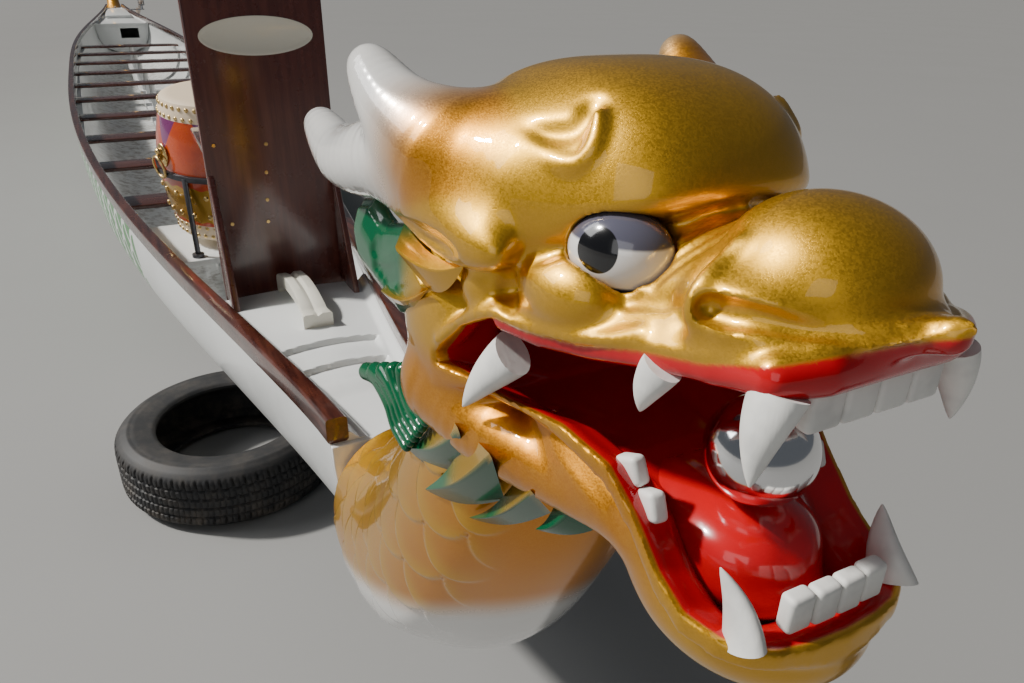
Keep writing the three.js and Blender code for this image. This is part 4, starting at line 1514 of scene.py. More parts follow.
@dataclass
class Drum:
    """The drum on its stand: barrel, two laced heads with studs, ring handles on plain plates."""

    x: float = 4.450
    top: float = 0.950
    tall: float = 0.480
    rim: float = 0.196
    belly: float = 0.236
    tilt: float = 5.0
    studs: int = 44
    handles: int = 4
    belt_studs: int = 24
    skin: float = 0.0157
    skirt: tuple[tuple[float, float], ...] = (  # the skin's fold, out from the rim and down from the edge
        (-0.03, 0), (-0.008, 0.002), (0.002, 0.008), (0.007, 0.02), (0.0125, 0.05), (0.0155, 0.066),
        (0.0125, 0.069), (0.0105, 0.066), (0.002, 0.03), (-0.004, 0.012),
    )

    def frame_of(self) -> Matrix:
        """The drum's own frame, its middle at the origin."""
        place = Matrix.Translation((self.x, 0, self.top - self.tall / 2))
        return place @ Matrix.Rotation(math.radians(self.tilt), 4, "Y")

    def radius(self, t: float) -> float:
        """Barrel radius at a share of its height."""
        return self.belly - (self.belly - self.rim) * (2 * t - 1) ** 2

    def turned(self, profile: Sequence[tuple[float, float]], steps: int = 128) -> Piece:
        """Turns a profile of (radius, height) about Z, with a map of turn and height.

        Args:
            profile: the points.
            steps: steps round.

        Returns:
            The piece.
        """
        angles = np.linspace(0, 2 * math.pi, steps + 1)[:, None]
        r, z = np.array(profile).T[:, None, :]
        rings = np.stack(np.broadcast_arrays(r * np.cos(angles), r * np.sin(angles), z), axis=-1)
        flat = np.stack(np.broadcast_arrays(angles / (2 * math.pi), z / self.tall + 0.5), axis=-1)
        piece = Skin.loft(rings, flat, caps=False, around=False).piece("Turn")
        return SHOP.smooth(piece, 30)

    def build(self) -> None:
        """All pieces in the drum's frame, then tilted into place."""
        place = self.frame_of()
        body = [(0.0, -self.tall / 2 + 0.016)]
        for i in range(33):
            body.append((self.radius(i / 32), (i / 32 - 0.5) * (self.tall - 0.032)))
        body.append((0.0, self.tall / 2 - 0.016))
        barrel = self.turned(body)
        barrel.data.transform(place)
        shown(barrel, "drum_body", BOAT, LACQUER, ["drum_barrel"])
        self.heads(place)
        self.fittings(place)
        SHOP.refined("drum_stand", 0.002, IRON, BOAT)

    def heads(self, place: Matrix) -> None:
        """Skins drawn over the rims, with two rows of studs.

        Args:
            place: where the drum stands.
        """
        edge = self.tall / 2
        studs = []
        for side, word in ((1, "upper"), (-1, "lower")):
            rim = self.rim
            skirt = [(rim + out, edge - drop) for out, drop in self.skirt]
            profile = [(0.0, edge), *skirt, (0.0, edge - self.skin)]
            head = self.turned([(r, side * z) for r, z in profile])
            head.data.transform(place)
            shown(head, f"drum_skin_{word}", BOAT, SKIN, [f"drum_head_{word}"])
            for row, drop in enumerate((0.022, 0.054)):
                radius = rim + 0.0075 + (0.0055 if row else 0.0)
                for i in range(self.studs):
                    angle = 2 * math.pi * (i + row / 2) / self.studs
                    turn = Matrix.Rotation(angle, 4, "Z")
                    studs.append(place @ turn @ Matrix.Translation((radius, 0, side * (edge - drop))))
        stud = SHOP.ball((0, 0, 0), (0.0045, 0.0075, 0.0075), 8)
        shown(SHOP.smooth(SHOP.copies(stud, studs), 60), "drum_studs", BOAT, BRASS)

    def fittings(self, place: Matrix) -> None:
        """Ring handles on plain round plates, and a row of gilt studs on the belt.

        Args:
            place: where the drum stands.
        """
        plate = SHOP.ball((0, 0, 0), (0.009, 0.034, 0.040), 16)
        boss = SHOP.ball((0.012, 0, 0.014), (0.011, 0.014, 0.012), 10)
        nose = SHOP.ball((0.014, 0, -0.004), (0.010, 0.008, 0.014), 10)
        ring = SHOP.ring((0.018, 0, -0.038), 0.036, 0.0048, (math.radians(82), "Y"), 40)
        handle = SHOP.join([plate, boss, nose, ring])
        places = []
        for i in range(self.handles):
            turn = Matrix.Rotation(math.radians(20 + 360 * i / self.handles), 4, "Z")
            places.append(place @ turn @ Matrix.Translation((self.radius(0.62) + 0.002, 0, 0.058)))
        shown(SHOP.smooth(SHOP.copies(handle, places), 50), "drum_ring_handles", BOAT, BRASS)
        knobs = []
        for i in range(self.belt_studs):
            turn = Matrix.Rotation(2 * math.pi * i / self.belt_studs, 4, "Z")
            for t in (0.215, 0.365):
                spot = (self.radius(t) + 0.001, 0, (t - 0.5) * self.tall)
                knobs.append(place @ turn @ Matrix.Translation(spot))
        knob = SHOP.ball((0, 0, 0), (0.006, 0.009, 0.009), 8)
        shown(SHOP.smooth(SHOP.copies(knob, knobs), 60), "drum_belt_studs", BOAT, BRASS)


@dataclass
class Stern:
    """Stern deck, platform and towing ring."""

    aft: float = -6.244
    fore: float = -4.700
    camber: float = 0.004
    flange: float = 0.014
    flange_width: float = 0.042
    rows: int = 180
    columns: int = 60
    ring_x: float = -6.050
    ring_radius: float = 0.022
    ring_thick: float = 0.0045
    lines: Lines = LINES

    def height(self, x: np.ndarray, s: np.ndarray) -> np.ndarray:
        """Height of the deck over its edge line, s from -1 at starboard to 1 at port."""
        edge = (1 - np.abs(s)) * (self.lines.half(x) - self.lines.wall - DECK_GAP)
        lip = 1 - step(self.flange_width - 0.024, self.flange_width, edge)
        return self.camber * (1 - s * s) + self.flange * lip

    def build(self) -> None:
        """Deck boards and fittings."""
        x = np.linspace(self.aft, self.fore, self.rows)[:, None]
        s = np.linspace(-1, 1, self.columns)[None, :]
        shown(deck_skin(x, s, self.height(x, s)), "stern_deck_skin", BOAT, DECK_WHITE,
              ["stern_deck"])
        SHOP.refined("stern_platform", 0.012, DECK_WHITE, BOAT, segments=4)
        foot = float(self.lines.deck(np.array(self.ring_x))) + 0.008
        base = SHOP.ball((self.ring_x, 0, foot), (0.03, 0.03, 0.006), 12)
        ring = SHOP.ring((self.ring_x, 0, foot + 0.024), self.ring_radius, self.ring_thick,
                         (math.radians(78), "X"), 32)
        shown(SHOP.smooth(SHOP.join([base, ring]), 50), "stern_towing_ring", BOAT, STEEL)


@dataclass
class TyreSupport:
    """The road tyre that the bow rests on."""

    x: float = 5.319
    y: float = -0.210
    outer: float = 0.305
    bead: float = 0.195
    tall: float = 0.185
    around: int = 620
    across: int = 150
    blocks: int = 62

    def profile(self) -> tuple[np.ndarray, np.ndarray]:
        """Radius and height of the section, round the carcass and back inside.

        Returns:
            The two arrays.
        """
        o, t, b = self.outer, self.tall, self.bead
        wall = [(b, 0.018), (0.204, 0.010), (0.225, 0.005), (0.250, 0.001), (0.268, 0.002),
                (0.285, 0.010), (0.296, 0.020), (o - 0.002, 0.030), (o, 0.048)]
        lining = [(b + 0.001, 0.028), (0.215, 0.026), (0.255, 0.018), (0.283, 0.034)]
        knots = [*wall, (o, t / 2), *((r, t - z) for r, z in reversed(wall)),
                 *((r, t - z) for r, z in lining), (0.291, t / 2), *reversed(lining)]
        loop = np.array([*knots, knots[0]])
        length = np.concatenate([[0], np.cumsum(np.linalg.norm(np.diff(loop, axis=0), axis=1))])
        at = np.linspace(0, length[-1], self.across, endpoint=False)
        return np.interp(at, length, loop[:, 0]), np.interp(at, length, loop[:, 1])

    def build(self) -> None:
        """Sweeps the section round, sinking the tread's grooves."""
        r, z = self.profile()
        angle = np.linspace(0, 2 * math.pi, self.around, endpoint=False)[:, None]
        z = np.broadcast_to(z[None, :], (self.around, self.across))
        tread = step(0.297, 0.3035, r)[None, :]
        up = (z - self.tall / 2) / (self.tall / 2)
        grooves = np.zeros_like(z)
        for lane in (-0.46, -0.16, 0.16, 0.46):
            wave = 0.012 * np.sin(angle * self.blocks + lane * 9)
            grooves = np.maximum(grooves, 1 - step(0.020, 0.034, np.abs(up - lane - wave)))
        phase = (angle * self.blocks / (2 * math.pi) + 0.35 * np.abs(up)) % 1
        cuts = 1 - step(0.05, 0.12, np.minimum(phase, 1 - phase))
        shoulder = step(0.46, 0.54, np.abs(up)) * (1 - step(0.80, 0.92, np.abs(up)))
        sipe = 0.4 * (1 - step(0.04, 0.09, np.abs(phase - 0.5)))
        depth = np.maximum(grooves, np.maximum(cuts * (0.45 + 0.55 * shoulder), sipe))
        marks = 0.0012 * (step(0.262, 0.266, r) - step(0.272, 0.276, r))[None, :]
        radius = r[None, :] - 0.0065 * depth * tread
        lift = z + np.sign(up) * marks * (np.abs(up) > 0.8)
        lift = np.clip(lift, 0.0, self.tall)
        x, y = self.x + radius * np.cos(angle), self.y + radius * np.sin(angle)
        rings = np.stack([x, y, lift], axis=-1)
        skin = Skin.loft(np.concatenate([rings, rings[:1]]), caps=False)
        piece = skin.piece()
        SHOP.edit(piece, lambda: bpy.ops.mesh.remove_doubles(threshold=1e-6))
        shown(piece, "support_tyre", BOAT, TYRE, ["tyre"])


@dataclass
class SteeringOar:
    """Lock, bracket and oar on the port quarter."""

    x: float = -5.650
    y: float = 0.330
    axis: float = 0.715
    aft: float = 1.850
    fore: float = 0.850
    dip: float = 10.0
    radius: float = 0.022
    blade: float = 0.620
    blade_thick: float = 0.017
    tip: float = 0.05  # how much of the blade's end is rounded
    half: float = 0.110
    grip_half: float = 0.060
    grip_radius: float = 0.0165

    def build(self) -> None:
        """A shaft that fairs into a bevelled blade."""
        SHOP.refined("oar_bracket", 0.002, STEEL, BOAT)
        SHOP.refined("oar_lock", 0.002, STEEL, OAR)
        run = np.linspace(-self.aft, self.fore, 220)
        root, end = -self.aft + self.blade, -self.aft + self.tip
        into = step(root + 0.10, root - 0.26, run)
        tip = np.sqrt(np.clip(1 - (np.clip(end - run, 0, self.tip) / self.tip) ** 2, 0.02, 1))
        at_tip = run < end
        flat = self.radius + (self.blade_thick / 2 - self.radius) * into
        flat = flat * np.where(at_tip, tip ** 0.5, 1)
        broad = self.radius + (self.half - self.radius) * into
        broad = broad * np.where(at_tip, 0.9 + 0.1 * tip, 1)
        turn = np.linspace(0, 2 * math.pi, 48, endpoint=False)[None, :]
        square = 1 + into[:, None] * 0.9
        c, s = np.cos(turn), np.sin(turn)
        y = flat[:, None] * np.sign(c) * np.abs(c) ** (1 / square)
        z = broad[:, None] * np.sign(s) * np.abs(s) ** (1 / square)
        rings = np.stack([np.broadcast_to(run[:, None], y.shape), y, z], axis=-1)
        shaft = Skin.loft(rings).piece()
        x, wide = self.fore - 0.004, self.grip_half
        grip = SHOP.rod((x, -wide, 0), (x, wide, 0), self.grip_radius, sides=32)
        SHOP.bevel(grip, 0.006, 4)
        SHOP.smooth(grip)
        dip = Matrix.Rotation(-math.radians(self.dip), 4, "Y")
        oar = SHOP.join([shaft, grip])
        oar.data.transform(Matrix.Translation((self.x, self.y, self.axis)) @ dip)
        shown(oar, "steering_oar_shaft", OAR, ASH, ["steering_oar"])


def scaled_tube(rows: Sequence[tuple[float, ...]], steps: int, around: int, pitch: float, depth: float,
                fade: Callable[[np.ndarray, np.ndarray], np.ndarray]) -> tuple[Skin, np.ndarray]:
    """A bent tube with overlapping relief scales.

    Args:
        rows: x, z, tilt in degrees, half width and half height of each ring.
        steps: rings.
        around: points of a ring.
        pitch: size of a scale.
        depth: how far a scale's tip stands off.
        fade: share of relief from run (0 to 1) and turn (radians, 0 at the top of the ring).

    Returns:
        The skin, and how far each point lies into its scale, from 0 in a crease to 1 on a crest.
    """
    given = np.array(rows, dtype=float)
    padded = np.vstack([2 * given[0] - given[1], given, 2 * given[-1] - given[-2]])
    x, z, tilt, wide, high = np.array(fair(padded, steps // (len(rows) - 1))).T
    turn = np.linspace(0, 2 * math.pi, around, endpoint=False)[None, :]
    tilt = np.radians(tilt)[:, None]
    girth = np.mean(wide + high) * math.pi
    length = np.concatenate([[0], np.cumsum(np.hypot(np.diff(x), np.diff(z)))])[:, None]
    lanes = max(round(girth / pitch), 4)
    across = turn * lanes / (2 * math.pi)
    column = length / (pitch * 0.56)
    best = np.zeros((len(x), around))
    crest = np.zeros_like(best)
    for back in range(-1, 3):
        index = np.floor(column) + back
        beside = (across + 0.5 * (index % 2)) % 1 - 0.5
        aft = index - column
        gap = np.sqrt((beside * 1.66) ** 2 + (aft * 0.62) ** 2)
        inside = 1 - step(0.90, 1.0, gap)
        best = np.maximum(best, inside * (0.42 + 0.58 * np.clip(0.5 + aft * 0.36, 0, 1)))
        crest = np.maximum(crest, inside * step(0.45, 0.95, gap) * step(0.2, 1.2, aft))
    run = length / length[-1]
    relief = best * depth * fade(run, turn)
    up = np.cos(turn) * (high[:, None] + relief)
    y = np.sin(turn) * (wide[:, None] + relief)
    rings = np.stack([x[:, None] - up * np.sin(tilt), y, z[:, None] + up * np.cos(tilt)], axis=-1)
    skin = Skin.loft(rings)
    return skin, np.append((crest * fade(run, turn)).ravel(), [0, 0])


@dataclass
class Neck:
    """The figurehead's neck: broad gold scales on its back and sides, smooth toward a white throat."""

    rows: tuple[tuple[float, ...], ...] = (
        (6.2576, 0.494, 0, 0.116, 0.128), (6.330, 0.498, 8, 0.128, 0.138),
        (6.440, 0.530, 24, 0.138, 0.146), (6.550, 0.596, 40, 0.142, 0.150),
        (6.640, 0.690, 52, 0.140, 0.148), (6.710, 0.800, 58, 0.132, 0.140),
        (6.770, 0.900, 60, 0.120, 0.124), (6.820, 1.000, 62, 0.100, 0.090),
    )
    around: int = 288
    pitch: float = 0.092
    depth: float = 0.0150

    def build(self) -> None:
        """Sweeps the relief up the neck."""
        def fade(run: np.ndarray, turn: np.ndarray) -> np.ndarray:
            """Full on the back and sides, none on the throat."""
            side = np.abs((turn + math.pi) % (2 * math.pi) - math.pi)
            return (1 - step(2.0, 2.5, side)) * step(0.0, 0.03, run)

        skin, crest = scaled_tube(self.rows, 420, self.around, self.pitch, self.depth, fade)
        piece = skin.piece()
        count = (len(skin.points) - 2) // self.around
        turn = np.tile(np.linspace(0, 2 * math.pi, self.around, endpoint=False), count)
        side = np.append(np.abs((turn + math.pi) % (2 * math.pi) - math.pi), [0, 0])
        x, _, z = corners_of(piece).T
        line = 0.42 + 0.56 * (x - 6.28)
        bare = (1 - step(line - 0.02, line + 0.035, z)) * step(1.3, 1.7, side)
        # Deep orange everywhere but on the scales' crests, weak on the back and strong on the lower
        # sides: the lower sides' orange is airbrushed paint, the deeper colour between the crests is
        # painted shade.
        shares(piece, bare=bare, ember=(1 - crest) * (0.25 + 0.6 * step(1.2, 2.2, side)))
        shown(piece, "neck_scaled", BOAT, GOLD, ["neck"])


@dataclass
class Tail:
    """The tail at the stern, scaled like the neck and curling up to a fin."""

    rows: tuple[tuple[float, ...], ...] = (
        (-6.2576, 0.494, 180, 0.112, 0.124), (-6.360, 0.505, 168, 0.106, 0.116),
        (-6.480, 0.545, 152, 0.096, 0.104), (-6.600, 0.620, 138, 0.084, 0.092),
        (-6.710, 0.720, 130, 0.070, 0.076), (-6.800, 0.840, 124, 0.054, 0.058),
        (-6.880, 0.970, 120, 0.034, 0.038),
    )

    def build(self) -> None:
        """Sweeps the relief and paints the tip green."""
        def fade(run: np.ndarray, turn: np.ndarray) -> np.ndarray:
            """Even but for both ends."""
            return step(0.0, 0.03, run) * (1 - step(0.8, 0.97, run)) + 0 * turn

        skin, crest = scaled_tube(self.rows, 400, 240, 0.072, 0.0055, fade)
        piece = skin.piece()
        z = corners_of(piece)[:, 2]
        # Deep orange everywhere but on the scales' crests: painted shade between the scales.
        shares(piece, leaf=step(0.80, 0.92, z), ember=(1 - crest) * 0.7)
        shown(piece, "tail_scaled", BOAT, GOLD, ["tail"])


@dataclass(frozen=True)
class Ridge:
    """A ridge drawn along points of the head, or a groove where its height is below nought."""

    points: tuple[Point, ...]
    height: float
    width: float

    def on(self, space: Space, form: np.ndarray) -> np.ndarray:
        """The form with the ridge."""
        return relief(space, form, self.points, self.height, self.width)


@dataclass(frozen=True)
class Mass:
    """An egg-shaped mass of the head, its nose pitched up by degrees."""

    at: Point
    radii: Point
    pitch: float
    fillet: float

    def on(self, space: Space, form: np.ndarray) -> np.ndarray:
        """The form with the mass."""
        return blend(form, lump(space, self.at, self.radii, self.pitch), self.fillet)


@dataclass
class Head:
    """The dragon's head with its antlers and ears, modelled as one mass and airbrushed."""

    cell: float = 0.0024
    lip: tuple[Point, ...] = (
        (7.183, 0, 1.213), (7.168, .012, 1.207), (7.156, .03, 1.201), (7.140, .055, 1.193),
        (7.118, .075, 1.184), (7.09, .085, 1.173), (7.038, .095, 1.160), (6.997, .105, 1.148),
        (6.954, .120, 1.141), (6.916, .13, 1.139), (6.872, .138, 1.113), (6.83, .14, 1.07),
    )
    rim: tuple[Point, ...] = (
        (7.164, 0, 1.0), (7.162, .03, 1.0), (7.157, .052, 1.0), (7.148, .067, 1.0), (7.132, .080, 1.0),
        (7.106, .090, 1.003), (7.080, .092, 1.017), (7.050, .093, 1.044), (7.022, .097, 1.066),
        (6.975, .107, 1.074), (6.912, .12, 1.066), (6.83, .14, 1.065),
    )
    antler: tuple[Point, ...] = (
        (6.89, .080, 1.220), (6.81, .118, 1.232), (6.73, .144, 1.216), (6.64, .155, 1.199),
        (6.545, .155, 1.212))
    prong: tuple[Point, ...] = ((6.82, .125, 1.238), (6.775, .146, 1.262), (6.735, .156, 1.291))
    wrinkles: tuple[tuple[Point, ...], ...] = (
        ((7.000, .074, 1.199), (7.004, .052, 1.214), (7.0125, .030, 1.230), (7.020, .008, 1.235)),
        ((7.010, .073, 1.198), (7.0165, .050, 1.215), (7.021, .032, 1.227), (7.024, .012, 1.233)),
        ((7.016, .073, 1.196), (7.0255, .055, 1.213), (7.031, .038, 1.225), (7.034, .020, 1.232)),
        ((7.024, .073, 1.196), (7.0335, .057, 1.212), (7.039, .043, 1.223), (7.044, .026, 1.231)),
    )
    brow: tuple[Ridge, ...] = (
        Ridge(((6.912, .102, 1.26), (6.932, .101, 1.255), (6.951, .097, 1.255), (6.961, .092, 1.258),
               (6.965, .086, 1.267), (6.961, .080, 1.277), (6.955, .077, 1.286)), .0085, .0052),  # curl
        Ridge(((6.909, .100, 1.266), (6.928, .097, 1.269), (6.944, .090, 1.275), (6.947, .082, 1.284),
               (6.944, .076, 1.290)), -.0075, .0075),  # hollow inside the curl
        Ridge(((6.884, .110, 1.240), (6.888, .110, 1.234), (6.897, .110, 1.231), (6.910, .109, 1.232),
               (6.921, .107, 1.239), (6.919, .106, 1.247)), .006, .0045),  # small curl behind
        Ridge(((6.893, .110, 1.240), (6.903, .109, 1.238), (6.911, .108, 1.244)), -.004, .005),
        Ridge(((6.880, .112, 1.222), (6.898, .112, 1.208), (6.920, .109, 1.200), (6.955, .100, 1.205)),
              .004, .006),  # fold down to the eye
    )
    masses: tuple[Mass, ...] = (
        Mass((6.80, 0, 1.13), (.13, .105, .10), 0, .02),  # back of the head
        Mass((6.79, 0, 1.03), (.10, .105, .09), 0, .03),  # throat
        Mass((7.00, 0, 1.175), (.14, .078, .050), 14, .012),  # snout
        Mass((7.088, 0, 1.212), (.062, .060, .048), -4, .010),  # nose
        Mass((7.084, .047, 1.200), (.042, .040, .027), 6, .012),  # nostril's wing
        Mass((6.957, .089, 1.170), (.050, .034, .031), 8, .004),  # pouch under the eye
        Mass((6.878, .101, 1.150), (.033, .036, .033), 0, .003),  # cheek
        Mass((6.802, .098, 1.085), (.083, .055, .088), 0, .008),  # jowl
    )
    lid: Ridge = Ridge(((6.957, .095, 1.202), (6.966, .096, 1.187), (6.986, .090, 1.177),
                        (7.002, .080, 1.178), (7.013, .072, 1.190)), .004, .006)
    folds: tuple[Ridge, ...] = (
        Ridge(((7.0706, .0526, 1.2323), (7.0705, .0640, 1.2250), (7.0745, .0780, 1.2190),
               (7.0755, .0855, 1.2100), (7.0765, .0867, 1.2000), (7.0765, .0806, 1.1900),
               (7.0799, .0769, 1.1850)), .0075, .0065),  # rim of the nostril's wing
        Ridge(((7.060, .066, 1.222), (7.062, .078, 1.212), (7.0625, .084, 1.201), (7.064, .083, 1.190)),
              -.0070, .0070),  # groove behind it
        Ridge(((6.905, .130, 1.190), (6.918, .130, 1.190), (6.934, .122, 1.191), (6.951, .111, 1.196),
               (6.958, .103, 1.201)), -.0085, .0060),  # edge between brow and cheek
        Ridge(((6.931, .121, 1.186), (6.916, .118, 1.170), (6.911, .117, 1.157), (6.929, .122, 1.150)),
              -.0060, .0070),  # groove between the cheek and the eye's pouch
        Ridge(((6.846, .146, 1.092), (6.870, .137, 1.118), (6.912, .130, 1.139), (6.941, .124, 1.140),
               (6.971, .115, 1.142), (7.012, .102, 1.157), (7.039, .090, 1.172)), .0050, .0055),  # lip
    )
    crease: tuple[Point, ...] = (
        (7.087, .083, 1.205), (7.101, .080, 1.207), (7.113, .072, 1.208), (7.132, .053, 1.206),
        (7.149, .037, 1.207), (7.160, .021, 1.2105), (7.1665, .009, 1.2155))
    crease_radii: tuple[float, ...] = (.0090, .0095, .0080, .0055, .0045, .0040, .0030)

    def antlers(self, space: Space) -> np.ndarray:
        """The forked antlers."""
        main = strand(space, curl(self.antler, 6), drawn([.056, .050, .037, .030, .0185], 6))
        fork = strand(space, curl(self.prong, 6), drawn([.046, .032, .0195], 6))
        return blend(main, fork, .012)

    def gums(self, space: Space) -> np.ndarray:
        """The red band under the upper lip."""
        line = [(a - .012 * (b < .06), max(b - .010, 0), c - .004) for a, b, c in self.lip[:-2]]
        band = strand(space, line, .0095)
        ridge = ((7.137, 0, 1.187), (7.136, .045, 1.185), (7.128, .068, 1.181), (7.090, .072, 1.170))
        return blend(band, strand(space, ridge, [.0165, .0160, .0140, .0090]), .008)

    def mouth(self, space: Space) -> np.ndarray:
        """The hollow of the mouth, from the palate to the floor inside the rim.

        Args:
            space: the grid's points.

        Returns:
            The distance from the form, less than 0 inside.
        """
        x, _, z = space
        inside_lip, inside_rim = within(space, self.lip), within(space, self.rim)
        arch = (.010 + .042 * (1 - step(7.00, 7.10, x))) * step(.014, .060, inside_lip)
        roof = edge(self.lip, x, 2) + arch
        floor = .010 * step(.002, .030, inside_rim) + .034 * step(.026, .062, inside_rim)
        bed = edge(self.rim, x, 2) - floor
        gape = np.maximum(np.maximum(bed - z, z - roof) * .8, 6.835 - x)
        return blend(gape, lump(space, (6.90, 0, 1.085), (.135, .098, .062), 8), .01)

    def skull(self, space: Space) -> np.ndarray:
        """Crown, brow, snout, nose and cheeks.

        Args:
            space: the grid's points.

        Returns:
            The distance from the form, less than 0 inside.
        """
        x, _, z = space
        form = boxy(space, (6.868, 0, 1.196), (.160, .112, .114), 2.6, 6)
        form = carve(form, -(1.226 + (x - 7.0) * .40 - z) * .93, .016)
        for ridge in self.brow:
            form = ridge.on(space, form)
        for mass in self.masses:
            form = mass.on(space, form)
        return form

    def face(self, space: Space) -> np.ndarray:
        """The skull with its lip, eye sockets and nostrils.

        Args:
            space: the grid's points.

        Returns:
            The distance from the form, less than 0 inside.
        """
        x, _, z = space
        base = edge(self.lip, x, 2)
        thick = .012 + .010 * step(6.90, 6.98, x) * (1 - step(7.10, 7.15, x))
        shelf = np.maximum(np.clip(z - base - .006, 0, 1) * .8 - within(space, self.lip), base - z)
        shelf = np.maximum(np.maximum(shelf, z - base - thick), 6.84 - x)
        form = blend(self.skull(space), shelf, .012)
        form = self.lid.on(space, form)
        form = carve(form, lump(space, EYE_AT, (.038, .027, .030), 0, -30), .003)
        for line in self.wrinkles:
            form = relief(space, form, line, -.0060, .0036)
        for fold in self.folds:
            form = fold.on(space, form)
        crease = strand(space, curl(self.crease, 4), drawn(self.crease_radii, 4))
        return carve(form, crease, .003)

    def jaw(self, space: Space) -> np.ndarray:
        """The lower jaw: chin, cheek bands, and the groove under its rim.

        Args:
            space: the grid's points.

        Returns:
            The distance from the form, less than 0 inside.
        """
        x, _, z = space
        form = blend(lump(space, (7.072, 0, .980), (.094, .084, .060), -8),
                     lump(space, (6.97, 0, 1.030), (.15, .098, .042), -12), .03)
        band = ((6.79, .105, 1.02), (6.86, .098, 1.005), (6.94, .082, 1.005), (7.02, .066, 1.008),
                (7.07, .05, .990))
        form = blend(form, strand(space, curl(band, 6), drawn([.055, .040, .030, .022, .020], 6)), .012)
        base = edge(self.rim, x, 2)
        slab = np.maximum(np.maximum(-within(space, self.rim), base - .016 - z), z - base)
        form = blend(form, np.maximum(slab, 6.80 - x), .010)
        groove = ((6.84, .138, 1.046), (6.90, .124, 1.048), (6.96, .108, 1.050), (7.01, .100, 1.038),
                  (7.045, .096, 1.012))
        return carve(form, strand(space, curl(groove, 5), drawn([.006, .010, .011, .009, .004], 5)), .008)

    def ear(self, space: Space) -> np.ndarray:
        """A hollow leaf behind each brow."""
        leaf = lump(space, (6.850, .135, 1.190), (.088, .024, .025), 2)
        return carve(leaf, lump(space, (6.846, .163, 1.183), (.068, .020, .015), 2), .003)

    def field(self, space: Space) -> np.ndarray:
        """The finished form."""
        form = blend(blend(self.face(space), self.jaw(space), .012), self.ear(space), .006)
        form = blend(carve(form, self.mouth(space), .003), self.gums(space), .003)
        return blend(form, self.antlers(space), .030)

    def build(self) -> None:
        """Casts the form and stores its paint."""
        piece = cast((6.50, 0, 0.86), (7.21, 0.22, 1.34), self.cell, self.field, mirror=True)
        x, y, z = corners_of(piece).T
        space = (x, np.abs(y), z)
        middle = 0.5 * (edge(self.lip, x, 2) + edge(self.rim, x, 2))
        inside = np.where(z > middle, within(space, self.lip), within(space, self.rim))
        red = np.maximum(self.mouth(space) - .0035, .0045 - inside)
        red = np.minimum(red, np.maximum(self.gums(space) - .0015, z - edge(self.lip, x, 2) - .001))
        horn = 1 - step(.002, .010, self.antlers(space))
        dipped = x - 0.25 * (z - 1.22) + 0.100 * step(0.0, 0.05, y)
        bare = horn * (1 - step(6.755, 6.845, dipped))
        root = horn * step(6.70, 6.78, x) * (1 - step(6.86, 6.93, x))
        jaw = (1 - step(1.05, 1.09, z)) * (1 - step(7.02, 7.12, x))
        ember = np.clip(root * .7 + jaw * .75, 0, 1)
        shares(piece, throat=np.clip(0.5 - red / 0.02, 0, 1), bare=bare, ember=ember)
        nodes = ["head_upper", "jaw_lower"]
        nodes += [f"{part}_{side.word}" for part in ("antler", "ear") for side in Side]
        shown(piece, "head", BOAT, GOLD, nodes)


